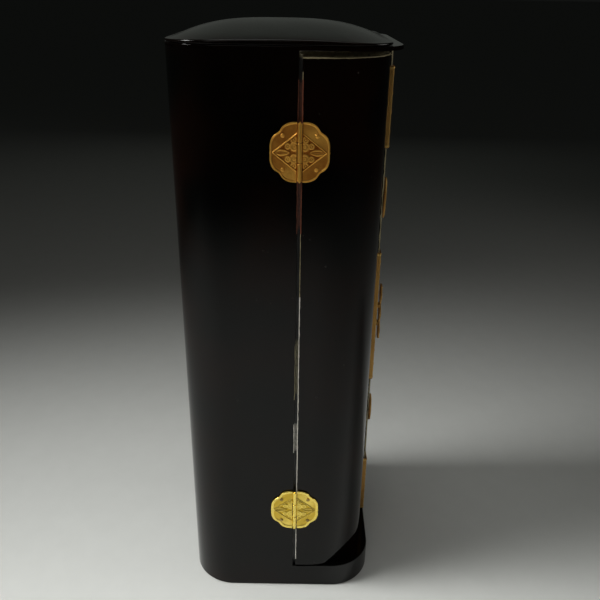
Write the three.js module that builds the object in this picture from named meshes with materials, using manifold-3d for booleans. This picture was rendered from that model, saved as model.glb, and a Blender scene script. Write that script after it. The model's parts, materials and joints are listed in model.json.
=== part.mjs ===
// Portable shrine in black lacquer: a small upright cabinet with a rounded plan. One carcass holds the back,
// the plinth and the head board; two tall doors wrap round its front corners on gilt butt hinges and meet behind a
// battened centre line; a low domed roof sits on top. Millimetres, +Z up, front towards -Y.
import * as THREE from "three";
import { mergeVertices } from "three/addons/utils/BufferGeometryUtils.js";
import Module from "manifold-3d";

const wasm = await Module();
wasm.setup();

// ---- Driving dimensions ---------------------------------------------------------------------------------------
const CASE_WIDTH = 104.2; // outside, side to side
const CASE_DEPTH = 97.5; // back face to door face
const PLINTH_HEIGHT = 14.6;
const DOOR_BOTTOM = 15.4;
const DOOR_TOP = 290.6;
const HEAD_BOTTOM = 292.9; // underside of the head board
const HEAD_TOP = 294.6;
const TOTAL_HEIGHT = 303; // one shaku, at the crown of the roof
const FRONT_OVERHANG = 4.15; // plinth and head board stand this far in front of the doors
const BACK_RADIUS = 23; // rear corners
const DOOR_RADIUS = 31; // front corners of the doors
const PLINTH_RADIUS = 22; // front corners of the plinth and head board
const WALL = 5.5; // carcass and door thickness
const SEAM_FROM_BACK = 58.2; // the line down each side where a door begins
const SEAM_GAP = 1.4;
const GAP = 0.3; // between pieces that touch

const BATTEN_WIDTH = 9;
const BATTEN_PROUD = 3.6; // in front of the door face
const SHEET = 0.65; // gilt copper sheet of the batten sleeves
const LATCH_REACH = 6.7; // the foremost metal, in front of the door face

const HINGE_RADIUS = 12.9;
const HINGE_HEIGHTS = { lower: 57, upper: 252.5 };
const LEAF_THICKNESS = 0.7;
const BARREL_RADIUS = 1;
const BARREL_BORE = 0.62;
const BARREL_HALF = 12.4; // half the height of the whole barrel
const KNUCKLE_HALF = 4.2; // the moving leaf's middle knuckle
const PIN_RADIUS = 0.36;
const PIN_SHOWS = 0.6; // of the pin, below and above the barrel
const FIELD_DEPTH = 0.22; // the plate's ground lies this far below its rim
const RIM_SHARE = 0.93; // where the rim begins, as a share of the outline

// ---- Places worked out from them ------------------------------------------------------------------------------
const SIDE = CASE_WIDTH / 2;
const BACK = (CASE_DEPTH + LATCH_REACH) / 2; // the origin is the middle of the footprint, latch included
const DOOR_FACE = BACK - CASE_DEPTH;
const PLINTH_FRONT = DOOR_FACE - FRONT_OVERHANG;
const SEAM = BACK - SEAM_FROM_BACK;
const BARREL_OUT = LEAF_THICKNESS + 1.5 * GAP; // hinge axis, outwards from the side face
const SLEEVE_HALF = BATTEN_WIDTH / 2 + GAP + SHEET;
const MEETING_GAP = 0.7;
const MEETING_CLEAR = 0.4; // between the sleeves and the edge of their door
const MEETING_LINE = SLEEVE_HALF + MEETING_CLEAR + MEETING_GAP / 2; // the doors part just beside the batten
const SLEEVE_PROUD = BATTEN_PROUD + GAP + SHEET;

// ---- Finishes -------------------------------------------------------------------------------------------------
const lacquer = new THREE.MeshStandardMaterial({ color: 0x0b0807, roughness: 0.14, metalness: 0 });
const gilt = new THREE.MeshStandardMaterial({ color: 0xb98428, roughness: 0.36, metalness: 1 });
const paleGilt = new THREE.MeshStandardMaterial({ color: 0xd2ac4a, roughness: 0.34, metalness: 1 });
const wornBrass = new THREE.MeshStandardMaterial({ color: 0x8d7440, roughness: 0.45, metalness: 1 });

// ---- Solid helpers --------------------------------------------------------------------------------------------
// A closed three.js geometry as a solid that can be joined and cut.
function solid(geometry) {
  const bare = geometry.index ? geometry.toNonIndexed() : geometry;
  bare.deleteAttribute("normal");
  bare.deleteAttribute("uv");
  const merged = mergeVertices(bare, 1e-4);
  return new wasm.Manifold(
    new wasm.Mesh({
      numProp: 3,
      vertProperties: merged.attributes.position.array,
      triVerts: new Uint32Array(merged.index.array),
    }),
  );
}

// A solid as a named mesh.
function mesh(name, made, material) {
  const data = made.getMesh();
  const positions = new Float32Array(data.numVert * 3);
  for (let i = 0; i < data.numVert; i++) {
    positions.set(data.vertProperties.subarray(i * data.numProp, i * data.numProp + 3), i * 3);
  }
  const geometry = new THREE.BufferGeometry()
    .setAttribute("position", new THREE.BufferAttribute(positions, 3))
    .setIndex(new THREE.BufferAttribute(data.triVerts, 1));
  const flat = geometry.toNonIndexed();
  flat.computeVertexNormals();
  const piece = new THREE.Mesh(flat, material);
  piece.name = name;
  return piece;
}

function box(x0, x1, y0, y1, z0, z1) {
  const geometry = new THREE.BoxGeometry(x1 - x0, y1 - y0, z1 - z0);
  return solid(geometry.translate((x0 + x1) / 2, (y0 + y1) / 2, (z0 + z1) / 2));
}

function prism(shape, z0, z1) {
  const geometry = new THREE.ExtrudeGeometry(shape, {
    depth: z1 - z0,
    bevelEnabled: false,
    curveSegments: 10,
  });
  return solid(geometry.translate(0, 0, z0));
}

const union = (solids) => solids.reduce((joined, next) => joined.add(next));
const cut = (body, tools) => tools.reduce((left, tool) => left.subtract(tool), body);

// The rounded plan of the cabinet, down to a front edge with corners of the given radius, drawn in by `inset`.
function plan(front, frontRadius, inset = 0) {
  const half = SIDE - inset;
  const back = BACK - inset;
  const foremost = front + inset;
  const rBack = BACK_RADIUS - inset;
  const rFront = frontRadius - inset;
  const shape = new THREE.Shape();
  shape.moveTo(half, foremost + rFront);
  shape.lineTo(half, back - rBack);
  shape.absarc(half - rBack, back - rBack, rBack, 0, Math.PI / 2);
  shape.lineTo(-half + rBack, back);
  shape.absarc(-half + rBack, back - rBack, rBack, Math.PI / 2, Math.PI);
  shape.lineTo(-half, foremost + rFront);
  shape.absarc(-half + rFront, foremost + rFront, rFront, Math.PI, 1.5 * Math.PI);
  shape.lineTo(half - rFront, foremost);
  shape.absarc(half - rFront, foremost + rFront, rFront, 1.5 * Math.PI, 2 * Math.PI);
  return shape;
}

// A wall that follows the plan, between two insets and two heights.
function ring(outerInset, innerInset, z0, z1) {
  const outer = prism(plan(DOOR_FACE, DOOR_RADIUS, outerInset), z0, z1);
  const inner = prism(plan(DOOR_FACE, DOOR_RADIUS, innerInset), z0 - 1, z1 + 1);
  return outer.subtract(inner);
}

// ---- Hinge fixings --------------------------------------------------------------------------------------------
// A hinge is drawn in its own frame: x outwards from the side face, y towards the back along the face, z up, with
// the seam at y = 0. It stands on the right side; the left ones are mirrored.
const NAIL_REACH = 0.79 * HINGE_RADIUS * Math.SQRT1_2; // along and up, from the middle of the plate
const NAIL_SHANK = 0.42;
const NAIL_LENGTH = 4;
const NAIL_POINT = 0.8;
const NAIL_HOLE = NAIL_SHANK + GAP;
const HEAD_RADIUS = 0.95;
const HEAD_SHOULDER = { radius: 0.72, height: 0.36 };
const HEAD_HEIGHT = 0.52;
const nailPlaces = (towardsBack) => [-1, 1].map((up) => [towardsBack * NAIL_REACH, up * NAIL_REACH]);

function crossHole(radius, x0, x1, y, z) {
  const geometry = new THREE.CylinderGeometry(radius, radius, x1 - x0, 6);
  return solid(geometry.rotateZ(-Math.PI / 2).translate((x0 + x1) / 2, y, z));
}

// Pilot holes in the wood for one leaf's nails, on the side sideSign and towards the back or the front.
function pilotHoles(sideSign, towardsBack) {
  return Object.values(HINGE_HEIGHTS).flatMap((height) =>
    nailPlaces(towardsBack).map(([along, up]) => {
      const inner = SIDE - NAIL_LENGTH - GAP;
      const ends = [sideSign * inner, sideSign * (SIDE + 1)].sort((a, b) => a - b);
      return crossHole(NAIL_HOLE, ends[0], ends[1], SEAM + along, height + up);
    }),
  );
}

// ---- Carcass --------------------------------------------------------------------------------------------------
const ARRIS = 0.7; // softened lower edge of the plinth
const STOP_OUT = 2.4; // the doors lap over a stop that lies this far below their outer face
const STOP_IN = 6.6; // inner face of the stops
const STOP_REACH = 2.4; // how far the stops stand out behind the door edges
const STOP_CLEARANCE = 0.45; // between the end of a stop and the step in the door

// The stops run round the opening, below the doors' laps: one up each side seam, a sill and a lintel.
function stops() {
  const seamEdge = SEAM + SEAM_GAP / 2;
  const tall = ring(STOP_OUT, STOP_IN, PLINTH_HEIGHT - 1, HEAD_BOTTOM + 1);
  const sides = tall.intersect(box(-SIDE, SIDE, SEAM - STOP_REACH, seamEdge, 0, TOTAL_HEIGHT));
  const backing = ring(WALL - 1, STOP_IN, PLINTH_HEIGHT - 1, HEAD_BOTTOM + 1).intersect(
    box(-SIDE, SIDE, seamEdge - 1, seamEdge + STOP_REACH, 0, TOTAL_HEIGHT),
  );
  const front = box(-SIDE, SIDE, DOOR_FACE, seamEdge, 0, TOTAL_HEIGHT);
  const sill = ring(STOP_OUT, STOP_IN, PLINTH_HEIGHT - 1, DOOR_BOTTOM + STOP_REACH).intersect(front);
  const lintel = ring(STOP_OUT, STOP_IN, DOOR_TOP - STOP_REACH, HEAD_BOTTOM + 1).intersect(front);
  return [sides, backing, sill, lintel];
}

function carcass() {
  const plinth = prism(plan(PLINTH_FRONT, PLINTH_RADIUS), ARRIS, PLINTH_HEIGHT);
  const footing = prism(plan(PLINTH_FRONT, PLINTH_RADIUS, ARRIS / 2), 0, ARRIS);
  const head = prism(plan(PLINTH_FRONT, PLINTH_RADIUS), HEAD_BOTTOM, HEAD_TOP);
  const inFront = box(-SIDE - 1, SIDE + 1, PLINTH_FRONT - 1, SEAM + SEAM_GAP / 2, -1, TOTAL_HEIGHT);
  const shell = ring(0, WALL, PLINTH_HEIGHT - 1, HEAD_BOTTOM + 1).subtract(inFront);
  return cut(union([footing, plinth, head, shell, ...stops()]), [
    ...pilotHoles(-1, 1),
    ...pilotHoles(1, 1),
  ]);
}

// ---- Roof -----------------------------------------------------------------------------------------------------
const ROOF_FRONT = DOOR_FACE + 0.9;
const ROOF_FRONT_RADIUS = 17;
const ROOF_BOTTOM = HEAD_TOP + GAP;
const SIDE_FALL = 6.1; // from the crown to the middle of a side edge
const END_FALL = 7.7; // from the crown to the middle of the front or back edge
const ROOF_ARRIS = 0.7;
const ROOF_EDGE = 0.9; // least height of the roof's edge, in the middle of the front and the back
const ROOF_STEPS = [1, 1 - ROOF_ARRIS / SIDE, 0.93, 0.82, 0.66, 0.48, 0.25]; // rings, as shares of the outline
const EDGE_PIECE = 11; // longest straight stretch of the roof's outline

// Height of the roof's pillow-like top over a point of the plan.
function roofHeight(x, y) {
  const middle = (BACK + ROOF_FRONT) / 2;
  const across = Math.min(Math.abs(x) / SIDE, 1);
  const along = Math.min(Math.abs(y - middle) / (BACK - middle), 1);
  return TOTAL_HEIGHT - SIDE_FALL * across ** 2 - END_FALL * along ** 3 * (1 - 0.6 * across ** 2);
}

function roof() {
  const outline = plan(ROOF_FRONT, ROOF_FRONT_RADIUS).getPoints(6);
  const middle = new THREE.Vector2(0, (BACK + ROOF_FRONT) / 2);
  const points = outline
    .filter((point, i) => i === 0 || point.distanceTo(outline[i - 1]) > 0.01)
    .filter((point, i, kept) => i < kept.length - 1 || point.distanceTo(kept[0]) > 0.01)
    .flatMap((point, i, kept) => {
      // Long straight stretches are divided, so that the edge line can bow.
      const next = kept[(i + 1) % kept.length];
      const pieces = Math.max(1, Math.round(point.distanceTo(next) / EDGE_PIECE));
      return Array.from({ length: pieces }, (_, k) => point.clone().lerp(next, k / pieces));
    });
  const rows = [points.map((p) => [p.x, p.y, ROOF_BOTTOM])];
  ROOF_STEPS.forEach((step, row) => {
    const drop = row === 0 ? ROOF_ARRIS : 0;
    const least = ROOF_BOTTOM + ROOF_EDGE - drop / 2;
    rows.push(
      points.map((p) => {
        const q = p.clone().sub(middle).multiplyScalar(step).add(middle);
        return [q.x, q.y, Math.max(roofHeight(q.x, q.y) - drop, least)];
      }),
    );
  });
  return solid(loftedCap(rows, [0, middle.y, ROOF_BOTTOM], [0, middle.y, TOTAL_HEIGHT]));
}

// A closed surface through rows of points, from a flat bottom round a low centre to a crown.
function loftedCap(rows, low, crown) {
  const count = rows[0].length;
  const triangles = [];
  for (let i = 0; i < count; i++) {
    const j = (i + 1) % count;
    triangles.push(rows[0][j], rows[0][i], low);
    for (let row = 0; row + 1 < rows.length; row++) {
      const [a, b] = [rows[row][i], rows[row][j]];
      const [c, d] = [rows[row + 1][j], rows[row + 1][i]];
      triangles.push(a, b, c, a, c, d);
    }
    const top = rows[rows.length - 1];
    triangles.push(top[i], top[j], crown);
  }
  const geometry = new THREE.BufferGeometry();
  geometry.setAttribute("position", new THREE.BufferAttribute(new Float32Array(triangles.flat()), 3));
  return geometry;
}

// ---- Doors ----------------------------------------------------------------------------------------------------
// The step worked into the back of the doors, where they lap over the stops.
function rebates() {
  const step = STOP_REACH + STOP_CLEARANCE;
  const deep = ring(STOP_OUT - GAP, WALL + 1, 0, TOTAL_HEIGHT);
  return [
    deep.intersect(box(-SIDE, SIDE, SEAM - step, SEAM + 1, 0, TOTAL_HEIGHT)),
    deep.intersect(box(-SIDE, SIDE, DOOR_FACE, SEAM, 0, DOOR_BOTTOM + step)),
    deep.intersect(box(-SIDE, SIDE, DOOR_FACE, SEAM, DOOR_TOP - step, TOTAL_HEIGHT)),
  ];
}

function door(sideSign) {
  const edge = MEETING_LINE + (sideSign * MEETING_GAP) / 2;
  const reach = sideSign < 0 ? [-SIDE - 1, edge] : [edge, SIDE + 1];
  const own = box(...reach, DOOR_FACE - 1, SEAM - SEAM_GAP / 2, 0, TOTAL_HEIGHT);
  const panel = ring(0, WALL, DOOR_BOTTOM, DOOR_TOP).intersect(own);
  return cut(panel, [...rebates(), ...pilotHoles(sideSign, -1)]);
}

// ---- Centre batten and its gilt fittings ----------------------------------------------------------------------
const BATTEN_END = 0.2; // the batten stops this far short of the doors' ends
const BATTEN_ROUND = 1.6; // its outer corners are worked off
const SLEEVES = {
  sleeve_lower: [DOOR_BOTTOM + BATTEN_END, 54.7],
  sleeve_middle: [112.2, 189.7],
  sleeve_upper: [244.9, 283.3],
};

function batten() {
  const round = BATTEN_ROUND;
  const half = BATTEN_WIDTH / 2;
  const shape = new THREE.Shape();
  shape.moveTo(-half, -GAP);
  shape.lineTo(-half, -BATTEN_PROUD + round);
  shape.absarc(-half + round, -BATTEN_PROUD + round, round, Math.PI, 1.5 * Math.PI);
  shape.lineTo(half - round, -BATTEN_PROUD);
  shape.absarc(half - round, -BATTEN_PROUD + round, round, 1.5 * Math.PI, 2 * Math.PI);
  shape.lineTo(half, -GAP);
  const geometry = new THREE.ExtrudeGeometry(shape, {
    depth: DOOR_TOP - DOOR_BOTTOM - 2 * BATTEN_END,
    bevelEnabled: false,
    curveSegments: 4,
  });
  return solid(geometry.translate(0, DOOR_FACE, DOOR_BOTTOM + BATTEN_END));
}

// A sleeve of sheet wraps the batten's front and both sides.
function sleeve([z0, z1]) {
  const inner = BATTEN_WIDTH / 2 + GAP;
  const outside = box(-SLEEVE_HALF, SLEEVE_HALF, DOOR_FACE - SLEEVE_PROUD, DOOR_FACE - GAP, z0, z1);
  const inside = box(-inner, inner, DOOR_FACE - BATTEN_PROUD - GAP, DOOR_FACE + 1, z0 - 1, z1 + 1);
  return outside.subtract(inside);
}

// A flat shape drawn in x and z, given thickness along y so that its front face stands at `front`.
function facePlate(shape, front, thickness, height, segments = 6) {
  const geometry = new THREE.ExtrudeGeometry(shape, {
    depth: thickness,
    bevelEnabled: false,
    curveSegments: segments,
  });
  return solid(geometry.rotateX(Math.PI / 2).translate(0, front + thickness, height));
}

function ellipse(halfWidth, halfHeight, turn = 0, x = 0, z = 0) {
  const shape = new THREE.Shape();
  shape.absellipse(x, z, halfWidth, halfHeight, 0, 2 * Math.PI, false, turn);
  return shape;
}

// A pierced oval flower mount: a rim, four petals round an eye, and open ground between.
const MOUNT_HALF_WIDTH = BATTEN_WIDTH / 2 - 0.1;
const MOUNT_THICKNESS = 1.1;
const MOUNT_RIM = { side: 1.1, end: 1.3 };
const PETAL = { uprightHalf: 1.25, levelHalf: 1.05 }; // half widths
const PETAL_LAP = 0.7; // the petals run into the rim
const EYE = { radius: 1.6, proud: 0.4 };

function flowerMount(halfHeight) {
  const front = DOOR_FACE - BATTEN_PROUD - GAP - MOUNT_THICKNESS;
  const opening = ellipse(MOUNT_HALF_WIDTH - MOUNT_RIM.side, halfHeight - MOUNT_RIM.end);
  const rim = facePlate(ellipse(MOUNT_HALF_WIDTH, halfHeight), front, MOUNT_THICKNESS, 0).subtract(
    facePlate(opening, front - 1, MOUNT_THICKNESS + 2, 0),
  );
  const petals = [0, 1, 2, 3].map((quarter) => {
    const upright = quarter % 2 === 1;
    const length = (upright ? halfHeight : MOUNT_HALF_WIDTH) - PETAL_LAP;
    const turn = (quarter * Math.PI) / 2;
    const middle = new THREE.Vector2(Math.cos(turn), Math.sin(turn)).multiplyScalar(length / 2);
    const petal = ellipse(length / 2, upright ? PETAL.uprightHalf : PETAL.levelHalf, turn, middle.x, middle.y);
    return facePlate(petal, front, MOUNT_THICKNESS, 0);
  });
  const eye = facePlate(ellipse(EYE.radius, EYE.radius), front - EYE.proud, MOUNT_THICKNESS + EYE.proud, 0);
  return union([rim, ...petals, eye]);
}

const MOUNTS = { mount_upper: [218.4, 10.8], mount_lower: [89.6, 8.9] };

// The latch plate stands off the middle sleeve on two posts; its outline swells and narrows in turn.
const LATCH_HEIGHTS = [136.7, 169.5];
const LATCH_THICKNESS = 0.95;
const LATCH_HALF_WIDTH = 2.6;
const LATCH_SWELL = 1.15;
const LATCH_TIP = 0.9; // half width of its two ends
const LATCH_WINDOW = { halfWidth: 1.15, halfHeight: 1.9, places: [-0.74, -0.37, 0, 0.37, 0.74] };
const LATCH_POST = { halfWidth: 1.9, halfHeight: 1, heights: [146, 157] };
const LATCH_STEPS = 26;

function latchPlate() {
  const [z0, z1] = LATCH_HEIGHTS;
  const middle = (z0 + z1) / 2;
  const half = (z1 - z0) / 2;
  const right = Array.from({ length: LATCH_STEPS }, (_, i) => {
    const t = -1 + (2 * i) / (LATCH_STEPS - 1);
    const width = LATCH_HALF_WIDTH + LATCH_SWELL * Math.cos(3 * Math.PI * t) * (1 - t ** 4);
    return new THREE.Vector2(i === 0 || i === LATCH_STEPS - 1 ? LATCH_TIP : width, t * half);
  });
  const left = right.map((point) => new THREE.Vector2(-point.x, point.y)).reverse();
  const front = DOOR_FACE - LATCH_REACH;
  const plate = facePlate(new THREE.Shape([...right, ...left]), front, LATCH_THICKNESS, middle);
  const windows = LATCH_WINDOW.places.map((share) => {
    const shape = ellipse(LATCH_WINDOW.halfWidth, LATCH_WINDOW.halfHeight, 0, 0, share * half);
    return facePlate(shape, front - 1, LATCH_THICKNESS + 2, middle);
  });
  const { halfWidth, halfHeight, heights } = LATCH_POST;
  const [foremost, seat] = [front + LATCH_THICKNESS - GAP, DOOR_FACE - SLEEVE_PROUD - GAP];
  const posts = heights.map((z) => box(-halfWidth, halfWidth, foremost, seat, z - halfHeight, z + halfHeight));
  return union([cut(plate, windows), ...posts]);
}

// ---- Hinges ---------------------------------------------------------------------------------------------------
// Outline of a hinge plate: four flat-topped lobes that part at notches on the diagonals. A share of the radius,
// from a bell-shaped bite of each depth and width taken out of a circle.
const LOBE = 1.035;
const NOTCH = { depth: 0.07, width: 0.16 };
const FLAT = { depth: 0.05, width: 0.25 };
const OUTLINE_POINTS = 48;

function hingeOutline(scale) {
  return Array.from({ length: OUTLINE_POINTS }, (_, i) => {
    const angle = (2 * Math.PI * i) / OUTLINE_POINTS;
    const fromCardinal = Math.abs(((angle + Math.PI / 4) % (Math.PI / 2)) - Math.PI / 4);
    const bite = (from, { depth, width }) => depth * Math.exp(-((from / width) ** 2));
    const share = LOBE - bite(Math.PI / 4 - fromCardinal, NOTCH) - bite(fromCardinal, FLAT);
    return new THREE.Vector2(Math.cos(angle), Math.sin(angle)).multiplyScalar(scale * share * HINGE_RADIUS);
  });
}

// A shape drawn along the face (x) and up (y), standing from x0 to x1 outwards.
function sidePlate(points, x0, x1) {
  const geometry = new THREE.ExtrudeGeometry(new THREE.Shape(points), {
    depth: x1 - x0,
    bevelEnabled: false,
  });
  // Drawing x -> hinge y, drawing y -> hinge z, depth -> hinge x.
  const turn = new THREE.Matrix4().makeBasis(
    new THREE.Vector3(0, 1, 0),
    new THREE.Vector3(0, 0, 1),
    new THREE.Vector3(1, 0, 0),
  );
  return solid(geometry.applyMatrix4(turn).translate(x0, 0, 0));
}

function barrel(radius, z0, z1) {
  const geometry = new THREE.CylinderGeometry(radius, radius, z1 - z0, 8);
  return solid(geometry.rotateX(Math.PI / 2).translate(BARREL_OUT, 0, (z0 + z1) / 2));
}

// One leaf: half of the plate on its side of the barrel, with its knuckles.
function leaf(towardsBack) {
  const near = BARREL_RADIUS + GAP;
  const far = HINGE_RADIUS * 1.1;
  const own = [towardsBack * near, towardsBack * far].sort((a, b) => a - b);
  const outer = GAP + LEAF_THICKNESS;
  const half = sidePlate(hingeOutline(1), GAP, outer)
    .subtract(sidePlate(hingeOutline(RIM_SHARE), outer - FIELD_DEPTH, outer + 1))
    .intersect(box(0, outer + 1, own[0], own[1], -far, far));
  const spans =
    towardsBack > 0
      ? [
          [-BARREL_HALF, -KNUCKLE_HALF - GAP],
          [KNUCKLE_HALF + GAP, BARREL_HALF],
        ]
      : [[-KNUCKLE_HALF, KNUCKLE_HALF]];
  const knuckles = spans.flatMap(([z0, z1]) => {
    const web = [0, towardsBack * (near + 0.4)].sort((a, b) => a - b);
    return [barrel(BARREL_RADIUS, z0, z1), box(GAP, outer - FIELD_DEPTH, web[0], web[1], z0, z1)];
  });
  const nailHoles = nailPlaces(towardsBack).map(([along, up]) => crossHole(NAIL_HOLE, 0, 2, along, up));
  const bore = barrel(BARREL_BORE, -HINGE_RADIUS - 1, HINGE_RADIUS + 1);
  return cut(union([half, ...knuckles]), [bore, ...nailHoles]);
}

function hingePin() {
  return barrel(PIN_RADIUS, -BARREL_HALF - PIN_SHOWS, BARREL_HALF + PIN_SHOWS);
}

// A dome-headed nail, its head over the leaf and its shank in the wood.
function nail(along, up) {
  const seat = LEAF_THICKNESS - FIELD_DEPTH + 1.7 * GAP;
  const profile = [
    [0, -NAIL_LENGTH],
    [NAIL_SHANK, -NAIL_LENGTH + NAIL_POINT],
    [NAIL_SHANK, seat],
    [HEAD_RADIUS, seat],
    [HEAD_SHOULDER.radius, seat + HEAD_SHOULDER.height],
    [0, seat + HEAD_HEIGHT],
  ].map(([r, h]) => new THREE.Vector2(r, h));
  const geometry = new THREE.LatheGeometry(profile, 7);
  return solid(geometry.rotateZ(-Math.PI / 2).translate(0, along, up));
}

// ---- Assembly -------------------------------------------------------------------------------------------------
const shrine = new THREE.Group();
shrine.add(mesh("carcass", carcass(), lacquer));
shrine.add(mesh("roof", roof(), lacquer));
shrine.add(mesh("door_left", door(-1), lacquer));
shrine.add(mesh("door_right", door(1), lacquer));
shrine.add(mesh("batten", batten(), lacquer));
for (const [name, heights] of Object.entries(SLEEVES)) {
  shrine.add(mesh(name, sleeve(heights), wornBrass));
}
for (const [name, [height, halfHeight]] of Object.entries(MOUNTS)) {
  const mount = mesh(name, flowerMount(halfHeight), wornBrass);
  mount.position.z = height;
  shrine.add(mount);
}
shrine.add(mesh("latch_plate", latchPlate(), wornBrass));

for (const [level, height] of Object.entries(HINGE_HEIGHTS)) {
  const metal = level === "upper" ? gilt : paleGilt;
  for (const [side, sideSign] of [
    ["left", -1],
    ["right", 1],
  ]) {
    const hinge = new THREE.Group();
    hinge.position.set(sideSign * SIDE, SEAM, height);
    hinge.scale.x = sideSign;
    const at = `${side}_${level}`;
    hinge.add(mesh(`hinge_case_leaf_${at}`, leaf(1), metal));
    hinge.add(mesh(`hinge_door_leaf_${at}`, leaf(-1), metal));
    hinge.add(mesh(`hinge_pin_${at}`, hingePin(), metal));
    for (const [owner, towardsBack] of [
      ["case", 1],
      ["door", -1],
    ]) {
      nailPlaces(towardsBack).forEach(([along, up]) => {
        const row = up > 0 ? "top" : "bottom";
        hinge.add(mesh(`nail_${owner}_${row}_${at}`, nail(along, up), metal));
      });
    }
    shrine.add(hinge);
  }
}

export default shrine;
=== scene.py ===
"""Portable shrine: black lacquer case, two doors, domed roof and gilt copper fittings, dressed over the
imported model. Metres, +Z up, front towards -Y."""

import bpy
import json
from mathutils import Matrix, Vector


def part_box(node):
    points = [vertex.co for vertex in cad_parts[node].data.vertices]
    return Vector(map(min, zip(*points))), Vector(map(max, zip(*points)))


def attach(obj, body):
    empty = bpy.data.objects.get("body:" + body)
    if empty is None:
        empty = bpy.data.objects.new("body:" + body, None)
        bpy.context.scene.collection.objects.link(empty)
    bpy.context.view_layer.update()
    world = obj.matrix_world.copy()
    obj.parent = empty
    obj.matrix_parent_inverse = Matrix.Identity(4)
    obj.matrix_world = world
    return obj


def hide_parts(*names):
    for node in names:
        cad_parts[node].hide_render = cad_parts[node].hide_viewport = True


bl_info = {
    "name": "Portable Shrine",
    "version": (1, 0, 0),
    "blender": (4, 5, 0),
    "location": "View3D > Sidebar > Shrine",
    "description": "Builds a black lacquer portable shrine with gilt copper fittings",
    "category": "Add Mesh",
}

import json
import math
from contextlib import contextmanager

import bmesh
import bpy
import numpy as np
from bpy.props import FloatProperty, FloatVectorProperty, PointerProperty
from mathutils import Matrix, Vector

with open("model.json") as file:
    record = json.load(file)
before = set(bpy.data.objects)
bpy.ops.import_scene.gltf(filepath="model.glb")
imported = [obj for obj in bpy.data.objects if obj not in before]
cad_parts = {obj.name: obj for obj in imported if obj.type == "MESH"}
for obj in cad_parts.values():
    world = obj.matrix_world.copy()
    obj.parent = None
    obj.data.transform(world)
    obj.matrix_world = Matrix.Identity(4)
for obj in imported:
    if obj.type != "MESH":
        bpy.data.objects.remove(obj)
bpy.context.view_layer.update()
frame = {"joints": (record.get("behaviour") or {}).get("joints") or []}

MM = 0.001
SAME = 1e-7  # places closer than this, in metres, count as one
WELD = 2e-6  # points of a joined solid closer than this are merged

# ---- Places read from the frame ----
CARCASS_LOW, CARCASS_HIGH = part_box("carcass")
ROOF_LOW, ROOF_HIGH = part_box("roof")
DOOR_LOW, DOOR_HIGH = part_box("door_right")
BATTEN_LOW, BATTEN_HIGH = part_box("batten")
SIDE = CARCASS_HIGH.x
BACK = CARCASS_HIGH.y
DOOR_FACE = DOOR_LOW.y
JOINTS = {joint["name"]: joint for joint in frame["joints"]}
SEAM = JOINTS["right_door_hinge"]["pos_m"][1]
HINGE_AXIS = JOINTS["right_door_hinge"]["pos_m"][0]
SIDES = {"left": -1, "right": 1}
HINGE_LEVELS = {
    level: sum(point.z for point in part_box(f"hinge_pin_right_{level}")) / 2 for level in ("lower", "upper")
}


# ---- Settings ----
def length(name, description, default):
    """A length in metres that a user can change."""
    return FloatProperty(name=name, description=description, default=default, unit="LENGTH", precision=5)


def tilt(name, description, degrees):
    """An angle that a user can change."""
    return FloatProperty(name=name, description=description, default=math.radians(degrees), subtype="ANGLE")


def colour(name, description, default):
    """A linear colour that a user can change."""
    return FloatVectorProperty(
        name=name, description=description, default=default, subtype="COLOR", size=3, min=0.0, max=1.0
    )


class ShrineCase(bpy.types.PropertyGroup):
    plinth_height: length("Plinth height", "Top of the plinth above the ground", 14.6 * MM)
    head_thickness: length("Head board", "Thickness of the board under the roof", 1.7 * MM)
    wall: length("Wall", "Thickness of the case wall and the doors", 5.5 * MM)
    back_radius: length("Back corner", "Radius of the rear corners", 23 * MM)
    door_radius: length("Door corner", "Radius of the front corners of the doors", 31 * MM)
    plinth_radius: length("Plinth corner", "Radius of the front corners of the plinth", 22 * MM)
    seam_gap: length("Seam gap", "Open line between case and door", 1.4 * MM)
    meeting_gap: length("Meeting gap", "Open line between the two doors", 0.7 * MM)
    stop_depth: length("Stop depth", "How far the stops lie below the outer face", 2.4 * MM)
    stop_inner: length("Stop inner face", "Depth of the inner face of the stops", 6.6 * MM)
    stop_reach: length("Stop reach", "How far the stops stand out behind the doors", 2.4 * MM)
    lap: length("Lap", "Thickness of the door's edge where it laps the stop", 2.1 * MM)
    lap_step: length("Lap step", "Width of the step in the back of the door", 2.85 * MM)
    arris: length("Arris", "Softening of the lacquered edges", 0.42 * MM)


class ShrineRoof(bpy.types.PropertyGroup):
    front_radius: length("Front corner", "Radius of the roof's front corners", 17 * MM)
    side_fall: length("Side fall", "Drop from the crown to the middle of a side edge", 6.1 * MM)
    end_fall: length("End fall", "Drop from the crown to the middle of the front edge", 7.7 * MM)
    edge: length("Edge", "Least thickness of the roof's edge", 0.9 * MM)
    arris: length("Arris", "Rounding of the roof's upper edge", 0.6 * MM)


class ShrineMetal(bpy.types.PropertyGroup):
    hinge_radius: length("Hinge radius", "Radius of the hinge plates", 12.9 * MM)
    leaf: length("Leaf", "Thickness of a hinge leaf", 0.7 * MM)
    clearance: length("Clearance", "Gap under fittings that lie on the lacquer", 0.3 * MM)
    relief: length("Relief", "Height of the chased ornament", 0.36 * MM)
    barrel_radius: length("Barrel", "Radius of the hinge knuckles", 1.0 * MM)
    knuckle_half: length("Knuckle", "Half the height of the middle knuckle", 4.2 * MM)
    barrel_half: length("Barrel half", "Half the height of the whole barrel", 12.4 * MM)
    pin_radius: length("Pin", "Radius of the hinge pins", 0.36 * MM)
    nail_radius: length("Nail head", "Radius of the dome-headed nails", 0.95 * MM)
    sheet: length("Sheet", "Thickness of the sleeve sheet", 0.65 * MM)


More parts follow.
